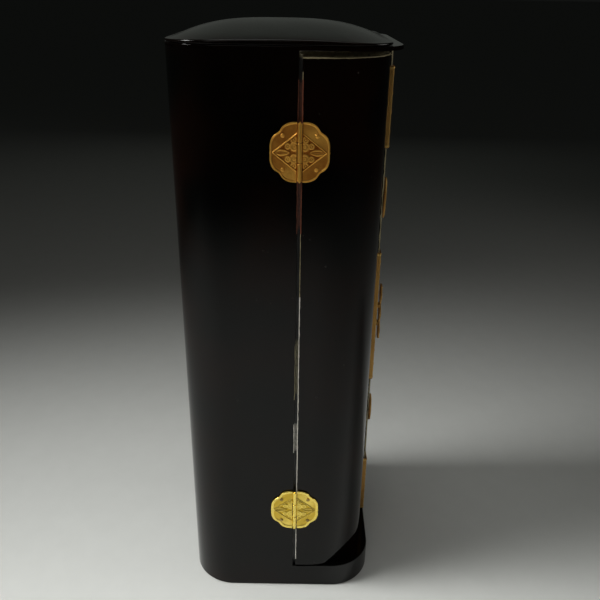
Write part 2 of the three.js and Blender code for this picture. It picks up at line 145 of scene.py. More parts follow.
class ShrineFinish(bpy.types.PropertyGroup):
    lacquer: colour("Lacquer", "Black lacquer", (0.0012, 0.0013, 0.0011))
    warm: colour("Aged lacquer", "Brown cast of the aged lacquer", (0.0065, 0.0022, 0.0012))
    # Grey-green film on the roof: partly dust, partly a painted reflection that makes the dome paler
    dust_and_reflection: colour("Dust", "Film of dust on the roof", (0.012, 0.0135, 0.011))
    undercoat: colour("Undercoat", "Red-brown ground that shows through wear", (0.17, 0.055, 0.03))
    rubbed: colour("Rubbed edge", "Olive gold of the rubbed edges", (0.3, 0.26, 0.15))
    # Pale ground of the chips, painted paler than it is: partly real chips, partly painted light in the
    # shaded seam
    bare_and_painted_light: colour("Bare ground", "Pale ground in the chips", (0.66, 0.63, 0.56))
    gilt: colour("Gilt", "Deep gilding of the upper hinges", (0.95, 0.52, 0.1))
    # The lower hinges' gilding is paler and brighter than the upper: partly less tarnished gilt, partly
    # painted light
    pale_gilt: colour("Pale gilt", "Bright gilding of the lower hinges", (1.0, 0.78, 0.18))
    old_gilt_with_painted_light: colour("Old gilt", "Gilding of the lower hinges in the recesses", (0.7, 0.46, 0.04))
    brass: colour("Worn brass", "Dull gilding of the batten's fittings", (0.6, 0.42, 0.14))
    tarnish: colour("Tarnish", "Orange brown in the recesses of the metal", (0.3, 0.085, 0.01))
    leaf: colour("Gold leaf", "Gold leaf inside the shrine", (0.74, 0.46, 0.13))
    floor: colour("Floor", "Pale floor", (0.6, 0.61, 0.59))


class ShrineStudio(bpy.types.PropertyGroup):
    lens: FloatProperty(name="Lens", description="Focal length in millimetres", default=39.8)
    distance: length("Distance", "Camera from the near side of the case", 280.5 * MM)
    along: length("Along", "Camera along the depth of the case", -7.2 * MM)
    height: length("Height", "Camera above the floor", 315.3 * MM)
    pitch: tilt("Pitch", "Camera looks down by", 25.15)
    roll: tilt("Roll", "Camera turned about its own axis by", 0.92)


# ---- Mesh helpers ----
def evaluated_mesh(piece):
    """The piece's mesh with its modifiers applied."""
    depsgraph = bpy.context.evaluated_depsgraph_get()
    return bpy.data.meshes.new_from_object(
        piece.evaluated_get(depsgraph), preserve_all_data_layers=True, depsgraph=depsgraph
    )


def loose_object(name, data):
    piece = bpy.data.objects.new(name, data)
    bpy.context.scene.collection.objects.link(piece)
    return piece


def mesh_from(name, points, faces):
    mesh = bpy.data.meshes.new(name)
    mesh.from_pydata([tuple(point) for point in points], [], faces)
    mesh.update()
    return mesh


@contextmanager
def edited(mesh):
    """The mesh opened for editing, and written back at the end."""
    shaped = bmesh.new()
    shaped.from_mesh(mesh)
    yield shaped
    shaped.to_mesh(mesh)
    shaped.free()
    mesh.update()


def face_outwards(shaped):
    bmesh.ops.recalc_face_normals(shaped, faces=shaped.faces)


def mirrored(mesh):
    """The mesh mirrored in x, its faces still looking outwards."""
    mesh.transform(Matrix.Scale(-1, 4, (1, 0, 0)))
    mesh.flip_normals()
    return mesh


def joined(meshes, name):
    """One solid from several closed meshes that overlap."""
    pieces = [loose_object(f"{name}_part", mesh) for mesh in meshes]
    body = pieces[0]
    for tool in pieces[1:]:
        cut = body.modifiers.new("Join", "BOOLEAN")
        cut.operation = "UNION"
        cut.solver = "EXACT"
        cut.object = tool
    bpy.context.view_layer.update()
    made = evaluated_mesh(body)
    for piece in pieces:
        bpy.data.objects.remove(piece)
    made.name = name
    with edited(made) as shaped:
        bmesh.ops.remove_doubles(shaped, verts=shaped.verts, dist=WELD)
        bmesh.ops.dissolve_degenerate(shaped, edges=shaped.edges, dist=WELD / 2)
    return made


def finish_piece(name, mesh, materials, body, nodes, sharp=32.0):
    """Links the mesh as a named piece with smooth shading that keeps its flat faces flat."""
    piece = loose_object(name, mesh)
    chosen = [face.material_index for face in mesh.polygons]
    mesh.materials.clear()
    for material in materials:
        mesh.materials.append(material)
    mesh.polygons.foreach_set("material_index", chosen)
    mesh.polygons.foreach_set("use_smooth", [True] * len(mesh.polygons))
    mesh.set_sharp_from_angle(angle=math.radians(sharp))
    weighted = piece.modifiers.new("Even shading", "WEIGHTED_NORMAL")
    weighted.keep_sharp = True
    weighted.weight = 80
    bpy.context.view_layer.update()
    piece.data = evaluated_mesh(piece)
    piece.modifiers.clear()
    piece.data.name = name
    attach(piece, body)
    if nodes:
        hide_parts(*nodes)
    return piece


def follow_plan(piece, outline):
    """Gives the outer walls the plan's own normals, so that reflections run evenly round the corners."""
    mesh = piece.data
    normals = [corner.vector.copy() for corner in mesh.corner_normals]
    for face in mesh.polygons:
        for corner in face.loop_indices:
            x, y, _ = mesh.vertices[mesh.loops[corner].vertex_index].co
            inside, outward = outline.nearest(x, y)
            if inside < 0.03 * MM and abs(face.normal.z) < 0.9 and outward.dot(face.normal.xy) > -0.5:
                normals[corner] = Vector((outward.x, outward.y, 0.0))
    mesh.normals_split_custom_set(normals)


# ---- The rounded plan ----
ARC_STEPS = 22  # facets in a quarter of a corner


class Plan:
    """The rounded plan of the cabinet with a straight front and back."""

    def __init__(self, front, front_radius, back_radius):
        self.front = front
        self.front_radius = front_radius
        self.back_radius = back_radius

    def ring(self, inset=0.0, straight=9 * MM):
        """Points round the plan, counter-clockwise from above, drawn in by `inset`."""
        half = SIDE - inset
        corners = [
            (half - self.front_radius + inset, self.front + self.front_radius, self.front_radius, -90),
            (half - self.back_radius + inset, BACK - self.back_radius, self.back_radius, 0),
            (-half + self.back_radius - inset, BACK - self.back_radius, self.back_radius, 90),
            (-half + self.front_radius - inset, self.front + self.front_radius, self.front_radius, 180),
        ]
        points = []
        for x, y, radius, start in corners:
            for step in range(ARC_STEPS + 1):
                angle = math.radians(start + 90 * step / ARC_STEPS)
                reach = radius - inset
                points.append(Vector((x + reach * math.cos(angle), y + reach * math.sin(angle))))
        divided = []
        for here, following in zip(points, points[1:] + points[:1]):
            pieces = max(1, round((following - here).length / straight))
            divided += [here.lerp(following, part / pieces) for part in range(pieces)]
        return divided

    def stretches(self):
        """Lengths of the straight front, front corner, side, back corner and straight back of one half."""
        return (
            SIDE - self.front_radius,
            self.front_radius * math.pi / 2,
            BACK - self.back_radius - self.front - self.front_radius,
            self.back_radius * math.pi / 2,
            SIDE - self.back_radius,
        )

    def at(self, along, depth):
        """The point `along` the outline from the middle of the front towards +X, `depth` inside it."""
        full = sum(self.stretches())
        mirror = -1 if along < 0 or along > full else 1
        along = abs(along) if along <= full else 2 * full - along
        front, corner, side, back_corner, _ = self.stretches()
        if along <= front:
            x, y = along, self.front + depth
        elif along <= front + corner:
            angle = (along - front) / self.front_radius - math.pi / 2
            reach = self.front_radius - depth
            x = SIDE - self.front_radius + reach * math.cos(angle)
            y = self.front + self.front_radius + reach * math.sin(angle)
        elif along <= front + corner + side:
            x, y = SIDE - depth, self.front + self.front_radius + along - front - corner
        elif along <= front + corner + side + back_corner:
            angle = (along - front - corner - side) / self.back_radius
            reach = self.back_radius - depth
            x = SIDE - self.back_radius + reach * math.cos(angle)
            y = BACK - self.back_radius + reach * math.sin(angle)
        else:
            x, y = full - along, BACK - depth
        return mirror * x, y

    def where(self, y):
        """How far along the outline the straight side passes `y`."""
        front, corner, _, _, _ = self.stretches()
        return front + corner + y - self.front - self.front_radius

    def nearest(self, x, y):
        """How far a point lies inside the outline, and the outward direction there."""
        middle = (self.front + BACK) / 2
        radius = self.back_radius if y > middle else self.front_radius
        beside = abs(x) - (SIDE - radius)
        beyond = (y - BACK if y > middle else self.front - y) + radius
        outward = Vector((math.copysign(1, x), math.copysign(1, y - middle)))
        if beside > 0 and beyond > 0:
            reach = math.hypot(beside, beyond)
            return radius - reach, Vector((outward.x * beside, outward.y * beyond)) / reach
        if beside > beyond:
            return radius - beside, Vector((outward.x, 0.0))
        return radius - beyond, Vector((0.0, outward.y))

    def slices(self, low, high):
        """Places along the outline where a bent strip needs an edge, between two ends."""
        front, corner, side, back_corner, _ = self.stretches()
        places = []
        for start, span in ((front, corner), (front + corner + side, back_corner)):
            places += [start + span * step / ARC_STEPS for step in range(ARC_STEPS + 1)]
        full = sum(self.stretches())
        places += [-place for place in places] + [2 * full - place for place in places]
        return [place for place in sorted(places) if low + 0.2 * MM < place < high - 0.2 * MM]


def bend(mesh, outline, low, high):
    """Slices a flat mesh drawn in (along, depth, height) and wraps it round the plan."""
    with edited(mesh) as shaped:
        for place in outline.slices(low, high):
            whole = shaped.verts[:] + shaped.edges[:] + shaped.faces[:]
            bmesh.ops.bisect_plane(shaped, geom=whole, dist=SAME, plane_co=(place, 0, 0), plane_no=(1, 0, 0))
        for vertex in shaped.verts:
            x, y = outline.at(vertex.co.x, vertex.co.y)
            vertex.co = (x, y, vertex.co.z)
        face_outwards(shaped)
    return mesh


def quarter_turn(steps):
    """Angles from nothing to a quarter turn."""
    return [math.pi / 2 * step / steps for step in range(steps + 1)]


def rounded_board(name, outline, low, high, lower_arris, upper_arris):
    """A board on the plan with both edges rounded."""
    turns = [(math.cos(turn), math.sin(turn)) for turn in quarter_turn(5)]
    levels = [(lower_arris * (1 - sine), low + lower_arris * (1 - cosine)) for cosine, sine in turns]
    levels += [(upper_arris * (1 - cosine), high - upper_arris * (1 - sine)) for cosine, sine in turns]
    return stacked(name, [[(p.x, p.y, height) for p in outline.ring(inset)] for inset, height in levels])


def stacked(name, rows):
    """A closed solid from rows of points that climb, with a flat face at both ends."""
    count = len(rows[0])
    faces = [tuple(reversed(range(count)))] + band_faces(len(rows), count)
    faces.append(tuple(range(count * (len(rows) - 1), count * len(rows))))
    return mesh_from(name, [point for row in rows for point in row], faces)


def band_faces(rows, count):
    """Quads between closed rows of `count` points, facing out where the rows climb and the points run
    anticlockwise."""
    faces = []
    for row in range(rows - 1):
        for i in range(count):
            j = (i + 1) % count
            low, high = row * count, (row + 1) * count
            faces.append((low + i, low + j, high + j, high + i))
    return faces


# ---- Shader helpers ----
def feed(tree, socket, value):
    """Links a socket to another one, or sets its value."""
    if isinstance(value, bpy.types.NodeSocket):
        tree.links.new(value, socket)
    else:
        socket.default_value = value


def feed_all(tree, node, inputs):
    for key, value in inputs.items():
        feed(tree, node.inputs[key], value)


def shader_node(tree, kind, inputs=None, **settings):
    made = tree.nodes.new(kind)
    for key, value in settings.items():
        setattr(made, key, value)
    feed_all(tree, made, inputs or {})
    return made


def maths(tree, operation, first, second=0.0, clamp=False):
    made = shader_node(tree, "ShaderNodeMath", {0: first, 1: second}, operation=operation, use_clamp=clamp)
    return made.outputs[0]


def plus(tree, first, second, clamp=False):
    return maths(tree, "ADD", first, second, clamp)


def minus(tree, first, second):
    return maths(tree, "SUBTRACT", first, second)


def times(tree, first, second):
    return maths(tree, "MULTIPLY", first, second)


def blended(tree, share, first, second, blend_type="MIX"):
    """A mix of two colours by a share that varies over the surface."""
    made = shader_node(tree, "ShaderNodeMix", data_type="RGBA", blend_type=blend_type)
    for key, value in (("Factor_Float", share), ("A_Color", first), ("B_Color", second)):
        feed(tree, next(socket for socket in made.inputs if socket.identifier == key), value)
    return next(socket for socket in made.outputs if socket.identifier == "Result_Color")


def spread(tree, value, low, high, to_low=0.0, to_high=1.0, kind="SMOOTHSTEP"):
    """A value moved from one range to another and clamped."""
    ranges = {"Value": value, "From Min": low, "From Max": high, "To Min": to_low, "To Max": to_high}
    return shader_node(tree, "ShaderNodeMapRange", ranges, interpolation_type=kind).outputs[0]


def noise(tree, vector, scale, detail=3.0, roughness=0.5):
    inputs = {"Vector": vector, "Scale": scale, "Detail": detail, "Roughness": roughness}
    return shader_node(tree, "ShaderNodeTexNoise", inputs).outputs["Fac"]


def effect(name, inputs, outputs):
    """An empty shader node group with named sockets: the tree, its inputs and the sockets that it fills."""
    tree = bpy.data.node_groups.new(name, "ShaderNodeTree")
    for label, kind, value in inputs:
        socket = tree.interface.new_socket(name=label, in_out="INPUT", socket_type=kind)
        if value is not None:
            socket.default_value = value
    for label, kind in outputs:
        tree.interface.new_socket(name=label, in_out="OUTPUT", socket_type=kind)
    given = tree.nodes.new("NodeGroupInput").outputs
    filled = tree.nodes.new("NodeGroupOutput").inputs
    return tree, given, filled


def use_effect(tree, name, inputs):
    made = shader_node(tree, "ShaderNodeGroup", node_tree=bpy.data.node_groups[name])
    feed_all(tree, made, inputs)
    return made.outputs


def build_effects():
    """The shared effects, each built once."""
    number, vector, tint = "NodeSocketFloat", "NodeSocketVector", "NodeSocketColor"

    tree, given, filled = effect(
        "Ragged Band",
        [("Place", number, 0.0), ("Centre", number, 0.0), ("Half Width", number, 0.001),
         ("Vector", vector, None), ("Scale", number, 400.0), ("Raggedness", number, 0.5)],
        [("Mask", number)],
    )
    rag = noise(tree, given["Vector"], given["Scale"], 4.0, 0.6)
    off = maths(tree, "ABSOLUTE", minus(tree, given["Place"], given["Centre"]))
    share = maths(tree, "DIVIDE", off, given["Half Width"])
    wobble = times(tree, minus(tree, rag, 0.5), given["Raggedness"])
    ragged = plus(tree, share, times(tree, wobble, 4.0))
    tree.links.new(spread(tree, ragged, 1.1, 0.85), filled["Mask"])

    tree, given, filled = effect(
        "Lacquer Polish",
        [("Vector", vector, None), ("Colour", tint, (0, 0, 0, 1)), ("Warm Colour", tint, (0, 0, 0, 1)),
         ("Gloss", number, 0.06)],
        [("Colour", tint), ("Roughness", number), ("Height", number)],
    )
    broad = noise(tree, given["Vector"], 22.0, 2.0, 0.5)
    fine = noise(tree, given["Vector"], 900.0, 3.0, 0.6)
    haze = noise(tree, given["Vector"], 60.0, 5.0, 0.65)
    warm = spread(tree, broad, 0.35, 0.75)
    tree.links.new(blended(tree, warm, given["Colour"], given["Warm Colour"]), filled["Colour"])
    hazed = times(tree, spread(tree, haze, 0.45, 0.8), 0.05)
    grained = times(tree, spread(tree, fine, 0.5, 0.85), 0.05)
    tree.links.new(plus(tree, given["Gloss"], plus(tree, hazed, grained)), filled["Roughness"])
    ripple = noise(tree, given["Vector"], 16.0, 1.0, 0.4)
    orange = noise(tree, given["Vector"], 240.0, 2.0, 0.5)
    height = plus(tree, ripple, times(tree, orange, 0.02))
    tree.links.new(height, filled["Height"])

    tree, given, filled = effect(
        "Dust Specks",
        [("Vector", vector, None), ("Scale", number, 700.0), ("Share", number, 0.03)],
        [("Mask", number)],
    )
    cells = shader_node(
        tree, "ShaderNodeTexVoronoi", {"Vector": given["Vector"], "Scale": given["Scale"], "Randomness": 1.0}
    )
    lottery = shader_node(tree, "ShaderNodeSeparateColor", {"Color": cells.outputs["Color"]})
    chosen = maths(tree, "LESS_THAN", lottery.outputs["Red"], given["Share"])
    core = spread(tree, cells.outputs["Distance"], 0.3, 0.12)
    tree.links.new(times(tree, chosen, core), filled["Mask"])

    tree, given, filled = effect(
        "Tarnished Gilding",
        [("Vector", vector, None), ("Relief", number, 0.5), ("Bright", tint, (1, 1, 1, 1)),
         ("Deep", tint, (0, 0, 0, 1)), ("Wear", number, 0.5), ("Gloss", number, 0.3)],
        [("Colour", tint), ("Roughness", number), ("Height", number)],
    )
    cloud = noise(tree, given["Vector"], 190.0, 4.0, 0.6)
    grain = noise(tree, given["Vector"], 2600.0, 3.0, 0.6)
    patches = times(tree, minus(tree, cloud, 0.5), 0.6)
    lit = plus(tree, given["Relief"], patches)
    fresh = minus(tree, 1.0, given["Wear"])
    bright_share = plus(tree, fresh, times(tree, lit, given["Wear"]), clamp=True)
    tree.links.new(blended(tree, bright_share, given["Deep"], given["Bright"]), filled["Colour"])
    dulled = times(tree, minus(tree, 1.0, bright_share), 0.25)
    rough = plus(tree, given["Gloss"], plus(tree, dulled, times(tree, grain, 0.12)))
    tree.links.new(rough, filled["Roughness"])
    punches = shader_node(tree, "ShaderNodeTexVoronoi", {"Vector": given["Vector"], "Scale": 2300.0})
    ground = minus(tree, 1.0, spread(tree, given["Relief"], 0.1, 0.4))
    stipple = times(tree, times(tree, punches.outputs["Distance"], ground), 0.6)
    tree.links.new(plus(tree, stipple, times(tree, grain, 0.35)), filled["Height"])


def start_material(name):
    """A new material with only its Principled shader, output and the surface's own coordinates."""
    material = bpy.data.materials.new(name)
    material.use_nodes = True
    tree = material.node_tree
    tree.nodes.clear()
    output = tree.nodes.new("ShaderNodeOutputMaterial")
    shader = tree.nodes.new("ShaderNodeBsdfPrincipled")
    tree.links.new(shader.outputs["BSDF"], output.inputs["Surface"])
    place = tree.nodes.new("ShaderNodeTexCoord").outputs["Object"]
    return material, tree, shader, place


def opaque(rgb):
    return (rgb[0], rgb[1], rgb[2], 1.0)


def coordinates(tree, place):
    split = shader_node(tree, "ShaderNodeSeparateXYZ", {"Vector": place})
    return {axis: split.outputs[axis.upper()] for axis in "xyz"}


def add_bump(tree, shader, height, distance):
    made = shader_node(tree, "ShaderNodeBump", {"Height": height, "Distance": distance})
    tree.links.new(made.outputs["Normal"], shader.inputs["Normal"])


LACQUER_IOR = 1.29  # low, as wax and fine wear dull old lacquer a little


def lacquer_material(name, finish, wear_bands=(), gloss=0.055, dust_and_reflection_from=None):
    """Polished black lacquer. Each wear band is (axis, centre, half width, colour, axis limits), and a
    grey-green film, partly dust and partly painted reflection, lies above the height that the last argument
    gives."""
    material, tree, shader, place = start_material(name)
    axes = coordinates(tree, place)
    black, warm = opaque(finish.lacquer), opaque(finish.warm)
    inputs = {"Vector": place, "Colour": black, "Warm Colour": warm, "Gloss": gloss}
    polish = use_effect(tree, "Lacquer Polish", inputs)
    shade = polish["Colour"]
    rough = polish["Roughness"]
    for axis, centre, half_width, tone, limits in wear_bands:
        inputs = {"Place": axes[axis], "Centre": centre, "Half Width": half_width, "Vector": place,
                  "Scale": 260.0, "Raggedness": 0.55}
        band = use_effect(tree, "Ragged Band", inputs)["Mask"]
        for limit_axis, low, high in limits:
            above = maths(tree, "GREATER_THAN", axes[limit_axis], low)
            below = maths(tree, "LESS_THAN", axes[limit_axis], high)
            band = times(tree, band, times(tree, above, below))
        shade = blended(tree, band, shade, opaque(tone))
        rough = plus(tree, rough, times(tree, band, 0.4))
    specks = use_effect(tree, "Dust Specks", {"Vector": place, "Scale": 560.0, "Share": 0.004})["Mask"]
    shade = blended(tree, times(tree, specks, 0.07), shade, opaque(finish.bare_and_painted_light))
    # Painted reflection with dust: the dome's top is painted a paler grey-green, in patches
    if dust_and_reflection_from is not None:
        film = spread(tree, axes["z"], dust_and_reflection_from, dust_and_reflection_from + 2.5 * MM)
        patchy = spread(tree, noise(tree, place, 90.0, 4.0, 0.6), 0.2, 0.9, 0.6, 1.0)
        shade = blended(tree, times(tree, film, patchy), shade, opaque(finish.dust_and_reflection))
    feed_all(tree, shader, {"Base Color": shade, "Roughness": rough, "IOR": LACQUER_IOR})
    add_bump(tree, shader, polish["Height"], 0.25 * MM)
    return material


def worn_stop_material(finish):
    """The stops behind the doors' edges: undercoat, rubbed gold and pale chips, by height; the chips'
    paleness is partly painted light.
    """
    material, tree, shader, place = start_material("worn_stop_lacquer")
    height = coordinates(tree, place)["z"]
    wobble = noise(tree, place, 180.0, 4.0, 0.6)
    shifted = plus(tree, height, times(tree, minus(tree, wobble, 0.5), 10 * MM))
    share = spread(tree, shifted, 0.0, 300 * MM, kind="LINEAR")
    ramp = shader_node(tree, "ShaderNodeValToRGB", {"Fac": share})
    black, bare_and_painted_light = opaque(finish.lacquer), opaque(finish.bare_and_painted_light)
    rubbed, undercoat = opaque(finish.rubbed), opaque(finish.undercoat)
    # The pale chip bands are partly painted light, lifting the shaded groove
    tones = [
        (0.0, black), (0.313, black), (0.32, bare_and_painted_light), (0.37, bare_and_painted_light), (0.378, black), (0.43, black),
        (0.44, rubbed), (0.53, rubbed), (0.54, black), (0.72, black), (0.727, undercoat), (0.937, undercoat),
        (0.942, black), (0.965, black), (0.968, rubbed), (1.0, undercoat),
    ]
    points = ramp.color_ramp.elements
    while len(points) < len(tones):
        points.new(1.0)
    for point, (position, tone) in zip(points, tones):
        point.position = position
        point.color = tone
    mottle = spread(tree, noise(tree, place, 700.0, 4.0, 0.6), 0.35, 0.75)
    shade = blended(tree, times(tree, mottle, 0.5), ramp.outputs["Color"], black)
    rough = plus(tree, 0.32, times(tree, mottle, 0.25))
    feed_all(tree, shader, {"Base Color": shade, "Roughness": rough})
    add_bump(tree, shader, mottle, 0.08 * MM)
    return material


def gilt_material(name, bright, deep, wear, gloss, grain=0.12 * MM):
    """Gilt or brass sheet: tarnish in the recesses of its relief, and a punched grain of a given depth."""
    material, tree, shader, place = start_material(name)
    relief = shader_node(tree, "ShaderNodeAttribute", attribute_name="relief").outputs["Fac"]
    inputs = {"Vector": place, "Relief": relief, "Bright": opaque(bright), "Deep": opaque(deep),
              "Wear": wear, "Gloss": gloss}
    gilding = use_effect(tree, "Tarnished Gilding", inputs)
    looks = {"Base Color": gilding["Colour"], "Roughness": gilding["Roughness"], "Metallic": 1.0}
    feed_all(tree, shader, looks)
    add_bump(tree, shader, gilding["Height"], grain)
    return material


def gold_leaf_material(finish):
    """Squares of gold leaf laid over lacquer, with faint laps and rubbed spots."""
    material, tree, shader, place = start_material("gold_leaf")
    squares = shader_node(
        tree, "ShaderNodeTexBrick",
        {"Vector": place, "Scale": 9.0, "Mortar Size": 0.004, "Brick Width": 0.5, "Row Height": 0.5,
         "Color1": (1, 1, 1, 1), "Color2": (0.86, 0.86, 0.86, 1), "Mortar": (0.7, 0.7, 0.7, 1)},
        offset=0.0,
    )
    cloud = noise(tree, place, 40.0, 5.0, 0.6)
    tone = blended(tree, 1.0, opaque(finish.leaf), squares.outputs["Color"], "MULTIPLY")
    rubbed = spread(tree, cloud, 0.62, 0.8)
    shade = blended(tree, times(tree, rubbed, 0.6), tone, opaque(finish.undercoat))
    metallic = minus(tree, 1.0, times(tree, rubbed, 0.6))
    rough = plus(tree, 0.3, times(tree, cloud, 0.2))
    feed_all(tree, shader, {"Base Color": shade, "Metallic": metallic, "Roughness": rough})
    add_bump(tree, shader, noise(tree, place, 500.0, 4.0, 0.6), 0.1 * MM)
    return material


# ---- Case ----
def cabinet_plan(sizes):
    return Plan(DOOR_FACE, sizes.door_radius, sizes.back_radius)


def flat_block(name, along, depth, height):
    """A block drawn flat in (along, depth, height), each a pair of limits."""
    points = [(a, d, h) for h in height for d in depth for a in along]
    faces = [(0, 2, 3, 1), (4, 5, 7, 6), (0, 1, 5, 4), (2, 6, 7, 3), (0, 4, 6, 2), (1, 3, 7, 5)]
    return mesh_from(name, points, faces)


def flat_frame(name, along, depth, height, opening_along, opening_height):
    """A flat rectangular frame with an opening through its depth."""
    outer, inner = (
        [(sides[0], ends[0]), (sides[1], ends[0]), (sides[1], ends[1]), (sides[0], ends[1])]
        for sides, ends in ((along, height), (opening_along, opening_height))
    )
    points = [(a, depth[0], h) for a, h in outer + inner] + [(a, depth[1], h) for a, h in outer + inner]
    faces = []
    for i in range(4):
        j = (i + 1) % 4
        faces += [
            (i, j, 4 + j, 4 + i),
            (8 + j, 8 + i, 12 + i, 12 + j),
            (j, i, 8 + i, 8 + j),
            (4 + i, 4 + j, 12 + j, 12 + i),
        ]
    return mesh_from(name, points, faces)


def soften(mesh, chosen, width, segments=3):
    """Bevels the edges that `chosen` picks by their two end points."""
    with edited(mesh) as shaped:
        face_outwards(shaped)
        edges = [edge for edge in shaped.edges if chosen(edge.verts[0].co, edge.verts[1].co)]
        bmesh.ops.bevel(shaped, geom=edges, offset=width, segments=segments, profile=0.5, affect="EDGES",
                        clamp_overlap=True)
    return mesh


def on_face(a, b):
    """Whether an edge of a flat drawing lies on the outer face."""
    return abs(a.y) + abs(b.y) < SAME


# Wear along the seam of the near side: the lowest and highest place of each stretch
REDDENED = (216 * MM, 282 * MM)
RUBBED_LOW = (128 * MM, 160 * MM)
CHIPPED_LOW = (95 * MM, 113 * MM)
DOOR_RUBBED = (20 * MM, 285 * MM)
DOOR_CHIPPED = (20 * MM, 185 * MM)
DOOR_TOP_RUBBED_FROM = -46 * MM  # how far forward the wear along the door's top edge starts


def seam_wear(place, half_width, tone, heights):
    """A wear band along the seam, on the near side only."""
    return "y", place, half_width, tone, [("z", *heights), ("x", -SIDE - MM, -SIDE + MM)]


def build_carcass(sizes, finish):
    outline = cabinet_plan(sizes)
    foot = Plan(CARCASS_LOW.y, sizes.plinth_radius, sizes.back_radius)
    head_bottom = CARCASS_HIGH.z - sizes.head_thickness
    plinth = rounded_board("plinth", foot, 0.0, sizes.plinth_height, 0.7 * MM, 0.5 * MM)
    head = rounded_board("head_board", foot, head_bottom, CARCASS_HIGH.z, 0.3 * MM, 0.3 * MM)
    full = sum(outline.stretches())
    edge = outline.where(SEAM + sizes.seam_gap / 2)
    into = 1.0 * MM  # how far the walls run into the boards above and below
    heights = (sizes.plinth_height - into, head_bottom + into)
    wall = flat_block("case_wall", (edge, 2 * full - edge), (0.0, sizes.wall), heights)
    wall = soften(wall, lambda a, b: on_face(a, b) and abs(a.x - b.x) < SAME, sizes.arris)
    wall = bend(wall, outline, edge, 2 * full - edge)
    behind = edge + sizes.stop_reach
    open_edge = edge - sizes.seam_gap - sizes.stop_reach
    stops = flat_frame(
        "stops",
        (-behind, behind),
        (sizes.stop_depth, sizes.stop_inner),
        heights,
        (-open_edge, open_edge),
        (DOOR_LOW.z + sizes.stop_reach, DOOR_HIGH.z - sizes.stop_reach),
    )
    stops = bend(stops, outline, -behind, behind)
    mesh = joined([plinth, wall, stops, head], "case")
    seam = SEAM + sizes.seam_gap / 2
    wear = [
        seam_wear(seam, 0.35 * MM, finish.undercoat, REDDENED),
        seam_wear(seam, 0.3 * MM, finish.rubbed, RUBBED_LOW),
        # The pale chips along the seam are partly painted light
        seam_wear(seam, 0.5 * MM, finish.bare_and_painted_light, CHIPPED_LOW),
    ]
    materials = [
        lacquer_material("case_lacquer", finish, wear),
        worn_stop_material(finish),
        gold_leaf_material(finish),
    ]
    black, stop, gilded = 0, 1, 2
    near = 0.3 * MM
    for face in mesh.polygons:
        corners = [mesh.vertices[index].co for index in face.vertices]
        depths = [outline.nearest(corner.x, corner.y)[0] for corner in corners]
        x, y, z = face.center
        _, outward = outline.nearest(x, y)
        between = sizes.plinth_height - near < z < head_bottom + near
        level = abs(face.normal.z) > 0.9
        face.material_index = black
        if between and min(depths) > sizes.wall - near and (level or outward.dot(face.normal.xy) < 0):
            face.material_index = gilded
        elif between and not level and y < SEAM + sizes.seam_gap and min(depths) > sizes.stop_depth - near:
            face.material_index = stop
    piece = finish_piece("case", mesh, materials, "case", ["carcass"])
    follow_plan(piece, outline)
    return piece


# ---- Roof ----
DOME_ROWS = 34  # rows from the rim to the crown
DOME_EASE = 1.15  # above 1, the rows lie closer near the rim


def roof_height(sizes, x, y):
    """Height of the pillow-like top over a point of the plan."""
    front = DOOR_FACE + 0.9 * MM
    middle = (BACK + front) / 2
    across = min(abs(x) / SIDE, 1.0)
    along = min(abs(y - middle) / (BACK - middle), 1.0)
    fall = sizes.side_fall * across**2 + sizes.end_fall * along**3 * (1 - 0.6 * across**2)
    height = ROOF_HIGH.z - fall
    least = ROOF_LOW.z + sizes.edge
    soft = 0.5 * MM  # blends the dome into its level rim
    blend = (height + least + math.sqrt((height - least) ** 2 + soft**2)) / 2
    return min(blend, ROOF_HIGH.z)


def build_roof(sizes, case_sizes, finish):
    outline = Plan(ROOF_LOW.y, sizes.front_radius, case_sizes.back_radius)
    middle = Vector((0.0, (BACK + ROOF_LOW.y) / 2))
    lower = 0.2 * MM
    rows = [
        [(p.x, p.y, ROOF_LOW.z) for p in outline.ring(lower)],
        [(p.x, p.y, ROOF_LOW.z + lower) for p in outline.ring()],
    ]
    arris = sizes.arris
    for turn in quarter_turn(6):
        ring = outline.ring(arris * (1 - math.cos(turn)))
        rows.append([(p.x, p.y, roof_height(sizes, p.x, p.y) - arris * (1 - math.sin(turn))) for p in ring])
    rim = outline.ring(arris)
    for step in range(1, DOME_ROWS):
        share = 1 - (step / DOME_ROWS) ** DOME_EASE
        row = []
        for p in rim:
            q = middle + (p - middle) * share
            row.append((q.x, q.y, roof_height(sizes, q.x, q.y)))
        rows.append(row)
    count = len(rim)
    points = [point for row in rows for point in row]
    points.append((middle.x, middle.y, roof_height(sizes, 0.0, middle.y)))
    faces = [tuple(reversed(range(count)))] + band_faces(len(rows), count)
    last = count * (len(rows) - 1)
    faces += [(last + i, last + (i + 1) % count, len(points) - 1) for i in range(count)]
    mesh = mesh_from("roof_dome", points, faces)
    material = lacquer_material("roof_lacquer", finish, gloss=0.15, dust_and_reflection_from=ROOF_LOW.z + 1.5 * MM)
    return finish_piece("roof_dome", mesh, [material], "case", ["roof"], 60)


# ---- Doors ----
def stepped_panel(name, meeting, edge, sizes):
    """A door drawn flat: a thin lap all round three sides of a full-thickness core."""
    low, high = DOOR_LOW.z, DOOR_HIGH.z
    step, lap, wall = sizes.lap_step, sizes.lap, sizes.wall
    full = ((meeting, low), (edge, low), (edge, high), (meeting, high))
    inner, sill, lintel = edge - step, low + step, high - step
    core = ((meeting, sill), (inner, sill), (inner, lintel), (meeting, lintel))
    layers = ((0, full), (lap, full), (lap, core), (wall, core))
    points = [(along, depth, height) for depth, corners in layers for along, height in corners]
    faces = [
        (0, 1, 2, 3),
        (0, 4, 5, 1), (1, 5, 6, 2), (2, 6, 7, 3), (3, 7, 11, 8, 4, 0),
        (4, 8, 9, 5), (5, 9, 10, 6), (6, 10, 11, 7),
        (8, 12, 13, 9), (9, 13, 14, 10), (10, 14, 15, 11), (11, 15, 12, 8),
        (12, 15, 14, 13),
    ]
    return mesh_from(name, points, faces)


